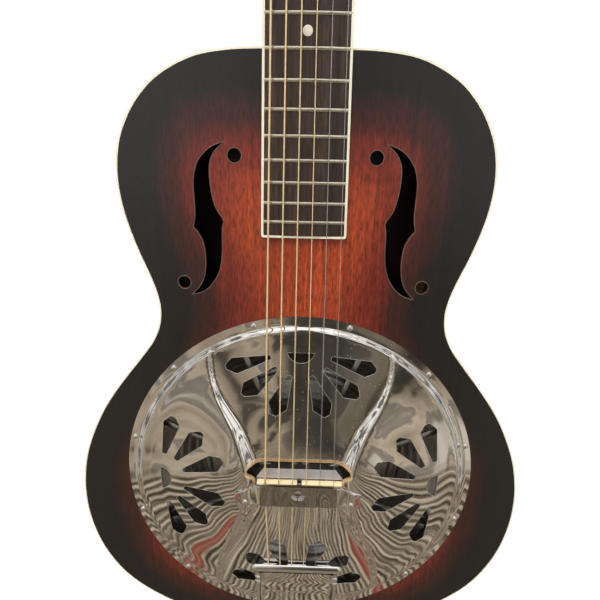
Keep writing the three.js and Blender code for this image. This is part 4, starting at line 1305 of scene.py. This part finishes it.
# ---- tuners ----
def make_tuners():
    gear_ring = []
    for k in range(GEAR_TEETH):
        a = 2 * math.pi * k / GEAR_TEETH
        for off, r in ((-0.30, 3.9), (-0.15, 4.95), (0.15, 4.95), (0.30, 3.9)):
            b = a + off * 2 * math.pi / GEAR_TEETH
            gear_ring.append((r * math.cos(b), r * math.sin(b)))
    for i in range(6):
        sign = 1 if i < 3 else -1
        s = POST_S[i if i < 3 else 5 - i]
        place = HEAD @ shift(sign * POST_X, s, 0)
        post = lathe([(0, 8.9), (2.1, 8.9), (2.7, 8.4), (3.0, 7.6), (2.9, 6.6), (2.35, 5.6), (2.35, 4.2),
                      (2.9, 3.2), (3.0, 2.6), (3.0, -21.2), (0, -21.2)], 28)
        verts, faces, _ = plate([gear_ring], GEAR_H - 1.8, GEAR_H + 1.8)
        screw = lathe([(0, -22.3), (2.0, -22.2), (2.6, -21.8), (2.7, -21.2), (2.7, -20.6), (0, -20.6)], 20)
        r = max(STRING_R[i], 0.24)
        coil, top, per_turn, turns = 2.4 + r, 5.3 + r, 14, 3
        line = []
        for k in range(turns * per_turn + 1):
            a = 2 * math.pi * k / per_turn
            line.append((coil * math.cos(a), coil * math.sin(a), top - r * 2.1 * k / per_turn))
        mesh_object(f"post_{i + 1}_turned", *post, NICKEL, body=f"post_{i + 1}", matrix=place,
                    slot="gear_brass", replaces=(f"string_post_{i + 1}",))
        mesh_object(f"post_{i + 1}_gear", *merge((verts, faces), screw), BRASS, body=f"post_{i + 1}",
                    matrix=place, slot="gear_brass", angle=30)
        mesh_object(f"post_{i + 1}_wraps", *tube(line, r, 8), PLAIN if i < 2 else WOUND,
                    body=f"post_{i + 1}", matrix=place, slot="plain_string" if i < 2 else "wound_string",
                    angle=60)
        axis = HEAD @ shift(0, s - WORM_DROP, GEAR_H)
        turn = Matrix.Rotation(0 if sign > 0 else math.pi, 4, "Z")
        stations = (12.6, 13, 17.4, 17.6, 30.4, 30.6, 46.4)
        shaft = tube([(x, 0, 0) for x in stations], [1.2, 1.6, 1.6, 2.1, 2.1, 1.6, 1.6], 24)
        thread = []
        lead = 2 * math.pi * 5.0 / GEAR_TEETH
        steps = 16
        for k in range(int(11.4 / lead * steps) + 1):
            a = 2 * math.pi * k / steps
            thread.append((18.2 + lead * k / steps, 2.2 * math.cos(a), 2.2 * math.sin(a)))
        worm = tube(thread, 0.42, 6)
        mesh_object(f"key_{i + 1}_worm", *merge(shaft, worm), STEEL, body=f"key_{i + 1}", matrix=axis @ turn,
                    slot="plain_steel", replaces=(f"key_shaft_{i + 1}",), angle=45)
        sections = ((46.2, 2.3, 2.3), (47.2, 3.0, 2.6), (48.6, 3.6, 2.6), (49.8, 6.2, 2.5), (51.2, 8.4, 2.6),
                    (53.5, 9.4, 2.9), (56.4, 9.6, 3.1), (59.4, 9.0, 2.9), (61.8, 7.2, 2.4), (63.3, 4.4, 1.6),
                    (63.9, 1.6, 0.7))
        rings = []
        for x, wide, deep in sections:
            ring = []
            for k in range(28):
                a = 2 * math.pi * k / 28
                ca, sa = math.cos(a), math.sin(a)
                ring.append((x, wide * math.copysign(abs(ca) ** 0.8, ca),
                             deep * math.copysign(abs(sa) ** 0.75, sa)))
            rings.append(ring)
        mesh_object(f"key_{i + 1}_button", *loft(rings), BRIGHT, body=f"key_{i + 1}", matrix=axis @ turn,
                    slot="tuner_button", replaces=(f"tuner_button_{i + 1}",), angle=60)
        bushing = lathe([(3.1, 0.0), (5.4, 0.0), (5.6, 0.5), (5.3, 1.1), (4.2, 1.5), (3.15, 1.5),
                         (3.1, 0.0)], 32)
        mesh_object(f"bushing_{i + 1}", *bushing, NICKEL, matrix=place, slot="nickel_plate")
    keep_cad(("tuner_plate_bass", "tuner_plate_treble"), NICKEL)
    head = lathe([(0, -1.0), (1.0, -0.9), (1.7, -0.5), (2.0, 0.0)], 16)
    heads = [moved(head, shift(x, s, -HEAD_T - 1.5)) for x in (-33, 33) for s in (34, 62, 102, 130)]
    mesh_object("tuner_plate_screws", *merge(*heads), NICKEL, matrix=HEAD, slot="nickel_plate")


make_tuners()


# ---- stage, light and camera ----
def make_stage():
    low, size = CAD_BOX[0][2], 12.0
    mesh = bpy.data.meshes.new("floor")
    mesh.from_pydata([(-size, -size, low), (size, -size, low), (size, size, low), (-size, size, low)], [],
                     [(0, 1, 2, 3)])
    m = Nodes("pale_floor")
    m.set(Base_Color=m.ramp(m.noise(m.coord, 3, 2, 0.5), ((0.3, 0.84), (0.7, 0.86))))
    m.bsdf.inputs["Roughness"].default_value = 0.8
    m.bsdf.inputs["Emission Color"].default_value = (1, 1, 0.995, 1)
    m.bsdf.inputs["Emission Strength"].default_value = 0.66
    mesh.materials.append(m.mat)
    floor = bpy.data.objects.new("floor", mesh)
    floor.visible_glossy = False
    floor.visible_diffuse = False
    bpy.context.scene.collection.objects.link(floor)


make_stage()


class Sky(Nodes):
    """The room round the object: the same node calls, on the world, with the ray's direction as vector."""

    def __init__(self):
        world = bpy.data.worlds.new("studio")
        bpy.context.scene.world = world
        world.use_nodes = True
        self.tree = world.node_tree
        self.tree.nodes.clear()
        self.out = self.tree.nodes.new("ShaderNodeOutputWorld")
        self.coord = self.tree.nodes.new("ShaderNodeTexCoord").outputs["Generated"]

    def background(self, colour):
        n = self.tree.nodes.new("ShaderNodeBackground")
        if not isinstance(colour, bpy.types.NodeSocket):
            colour = (*colour, 1)
        self.put(n.inputs[0], colour)
        return n.outputs[0]

    def choose(self, fac, a, b):
        n = self.tree.nodes.new("ShaderNodeMixShader")
        for socket, value in zip(n.inputs, (fac, a, b)):
            self.link(value, socket)
        return n.outputs[0]

    def combine(self, x, y, z=0.0):
        n = self.tree.nodes.new("ShaderNodeCombineXYZ")
        for socket, value in zip(n.inputs, (x, y, z)):
            self.put(socket, value)
        return n.outputs[0]


def make_world():
    """White to the camera, soft grey to matt surfaces, and a furnished room for polished metal to mirror."""
    s = Sky()
    x, y, z = s.split(s.coord)[:3]
    turn = s.math("ARCTAN2", x, s.math("MULTIPLY", y, -1.0))
    rise = s.math("ARCSINE", z)
    flat = s.combine(turn, rise)
    swirl = s.noise(flat, 3.0, 1.4, 0.5, 0.6)
    # woven floor covering low in front: fine wavy stripes, a few of them red
    aside = s.math("ABSOLUTE", turn)
    below = s.math("SUBTRACT", -0.55, rise)
    phase = s.math("MULTIPLY_ADD", swirl, 0.3, s.math("ARCTAN2", turn, below))
    rough = s.noise(s.combine(s.math("MULTIPLY", phase, 34.0), s.math("MULTIPLY", rise, 4.0)), 1.6, 3, 0.65)
    stripe = s.math("MULTIPLY_ADD", s.math("SINE", s.math("MULTIPLY", phase, 140.0)), 0.13, rough)
    rug = s.ramp(stripe, ((0.32, (0.055, 0.045, 0.034)), (0.5, (0.225, 0.182, 0.132)),
                          (0.7, (0.58, 0.50, 0.39))))
    red = s.ramp(s.math("SINE", s.math("MULTIPLY_ADD", phase, 4.0, -1.7)), ((0.985, 0.0), (0.995, 1.0)))
    rug = s.mix(s.math("MULTIPLY", red, 0.75), rug, (0.3, 0.07, 0.055))
    # the room above it: soft blotches of beige, grey and shadow
    blotch = s.noise(flat, 4.6, 4, 0.5, 1.0)
    room = s.ramp(blotch, ((0.37, (0.07, 0.062, 0.052)), (0.41, (0.25, 0.205, 0.15)),
                           (0.51, (0.37, 0.315, 0.245)), (0.54, (0.17, 0.15, 0.13)),
                           (0.59, (0.22, 0.19, 0.16)), (0.64, (0.42, 0.39, 0.34))))
    sides = s.ramp(s.math("MULTIPLY_ADD", turn, 1.0, 0.5),
                   ((0.2, 1.3), (0.52, 1.05), (0.6, 0.5), (0.72, 0.62), (0.84, 1.5)))
    room = s.mix(1.0, room, sides, "MULTIPLY")
    # pale windows and ceiling: above eye level in front, lower down on both sides
    overhead = s.ramp(rise, ((0.74, 0.0), (0.84, 1.0)))
    panes = s.ramp(s.noise(flat, 8.0, 3, 0.5), ((0.46, 0.05), (0.54, 1.0)))
    panes = s.math("MAXIMUM", panes, overhead)
    sill = s.math("MULTIPLY_ADD", s.math("SMOOTH_MIN", aside, 1.2, 0.3), 0.62, rise)
    high = s.ramp(s.math("ADD", sill, 0.5), ((0.5, 0.0), (0.68, 1.0)), "EASE")
    room = s.mix(high, room, s.mix(panes, (0.15, 0.135, 0.115), s.ramp(aside, ((0.5, 1.3), (0.9, 0.75)))))
    # a dark upright shape straight in front
    offset = s.math("ABSOLUTE", s.math("ADD", turn, s.math("MULTIPLY_ADD", swirl, 0.05, -0.045)))
    dark = s.ramp(offset, ((0.055, 1.0), (0.085, 0.0)))
    upright = s.math("MULTIPLY", dark, s.math("MULTIPLY_ADD", overhead, -0.92, 0.92))
    room = s.mix(upright, room, (0.045, 0.042, 0.034))
    edge = s.math("MULTIPLY_ADD", swirl, 0.12, rise)
    low = s.ramp(s.math("ADD", edge, 1.0), ((0.455, 1.0), (0.49, 0.0)))
    scene_colour = s.mix(low, room, rug)
    path = s.tree.nodes.new("ShaderNodeLightPath")
    soft = s.ramp(s.math("MULTIPLY_ADD", rise, 0.3, 0.5),
                  ((0.0, (0.26, 0.24, 0.22)), (0.5, (0.4, 0.39, 0.37)), (1.0, (0.66, 0.65, 0.64))))
    shader = s.choose(path.outputs["Is Glossy Ray"], s.background(soft), s.background(scene_colour))
    shader = s.choose(path.outputs["Is Camera Ray"], shader, s.background((1.0, 1.0, 0.998)))
    s.link(shader, s.out.inputs[0])


make_world()


def area(name, place, target, size, power, colour=(1, 1, 1)):
    light = bpy.data.lights.new(name, "AREA")
    light.shape = "RECTANGLE"
    light.size, light.size_y = size
    light.energy = power
    light.color = colour
    obj = bpy.data.objects.new(name, light)
    obj.location = place
    obj.rotation_mode = "QUATERNION"
    obj.rotation_quaternion = (Vector(target) - Vector(place)).to_track_quat("-Z", "Y")
    obj.visible_glossy = False
    bpy.context.scene.collection.objects.link(obj)


MIDDLE = (0, 0, -0.45)
area("key_light", (-0.6, -1.3, 0.9), MIDDLE, (1.2, 0.9), 26, (1, 0.97, 0.93))
area("fill_light", (1.4, -1.1, 0.2), MIDDLE, (1.4, 1.4), 9, (0.95, 0.97, 1))
area("top_light", (0, -0.5, 1.5), (0, -0.02, -0.6), (0.8, 0.5), 12, (1, 0.97, 0.93))
area("back_light", (0.6, 1.8, 0.9), MIDDLE, (1.6, 1.2), 22)


def make_camera():
    data = bpy.data.cameras.new("camera")
    data.sensor_width = 36
    data.lens = 30.0
    data.shift_y = 0.0588
    data.clip_start = 0.01
    cam = bpy.data.objects.new("camera", data)
    place = FACE @ Vector((5.47, 257.03, 356.32))
    turn = FACE.to_3x3().normalized()
    right = turn @ Vector((0.99950, 0.01868, -0.02556))
    up = turn @ Vector((-0.02629, 0.93969, -0.34100))
    back = right.cross(up)
    m = Matrix((right, up, back)).transposed().to_4x4()
    m.translation = place
    cam.matrix_world = m
    bpy.context.scene.collection.objects.link(cam)
    bpy.context.scene.camera = cam


make_camera()

scene = bpy.context.scene
scene.view_settings.view_transform = "Standard"
scene.view_settings.look = "None"

bpy.context.view_layer.update()
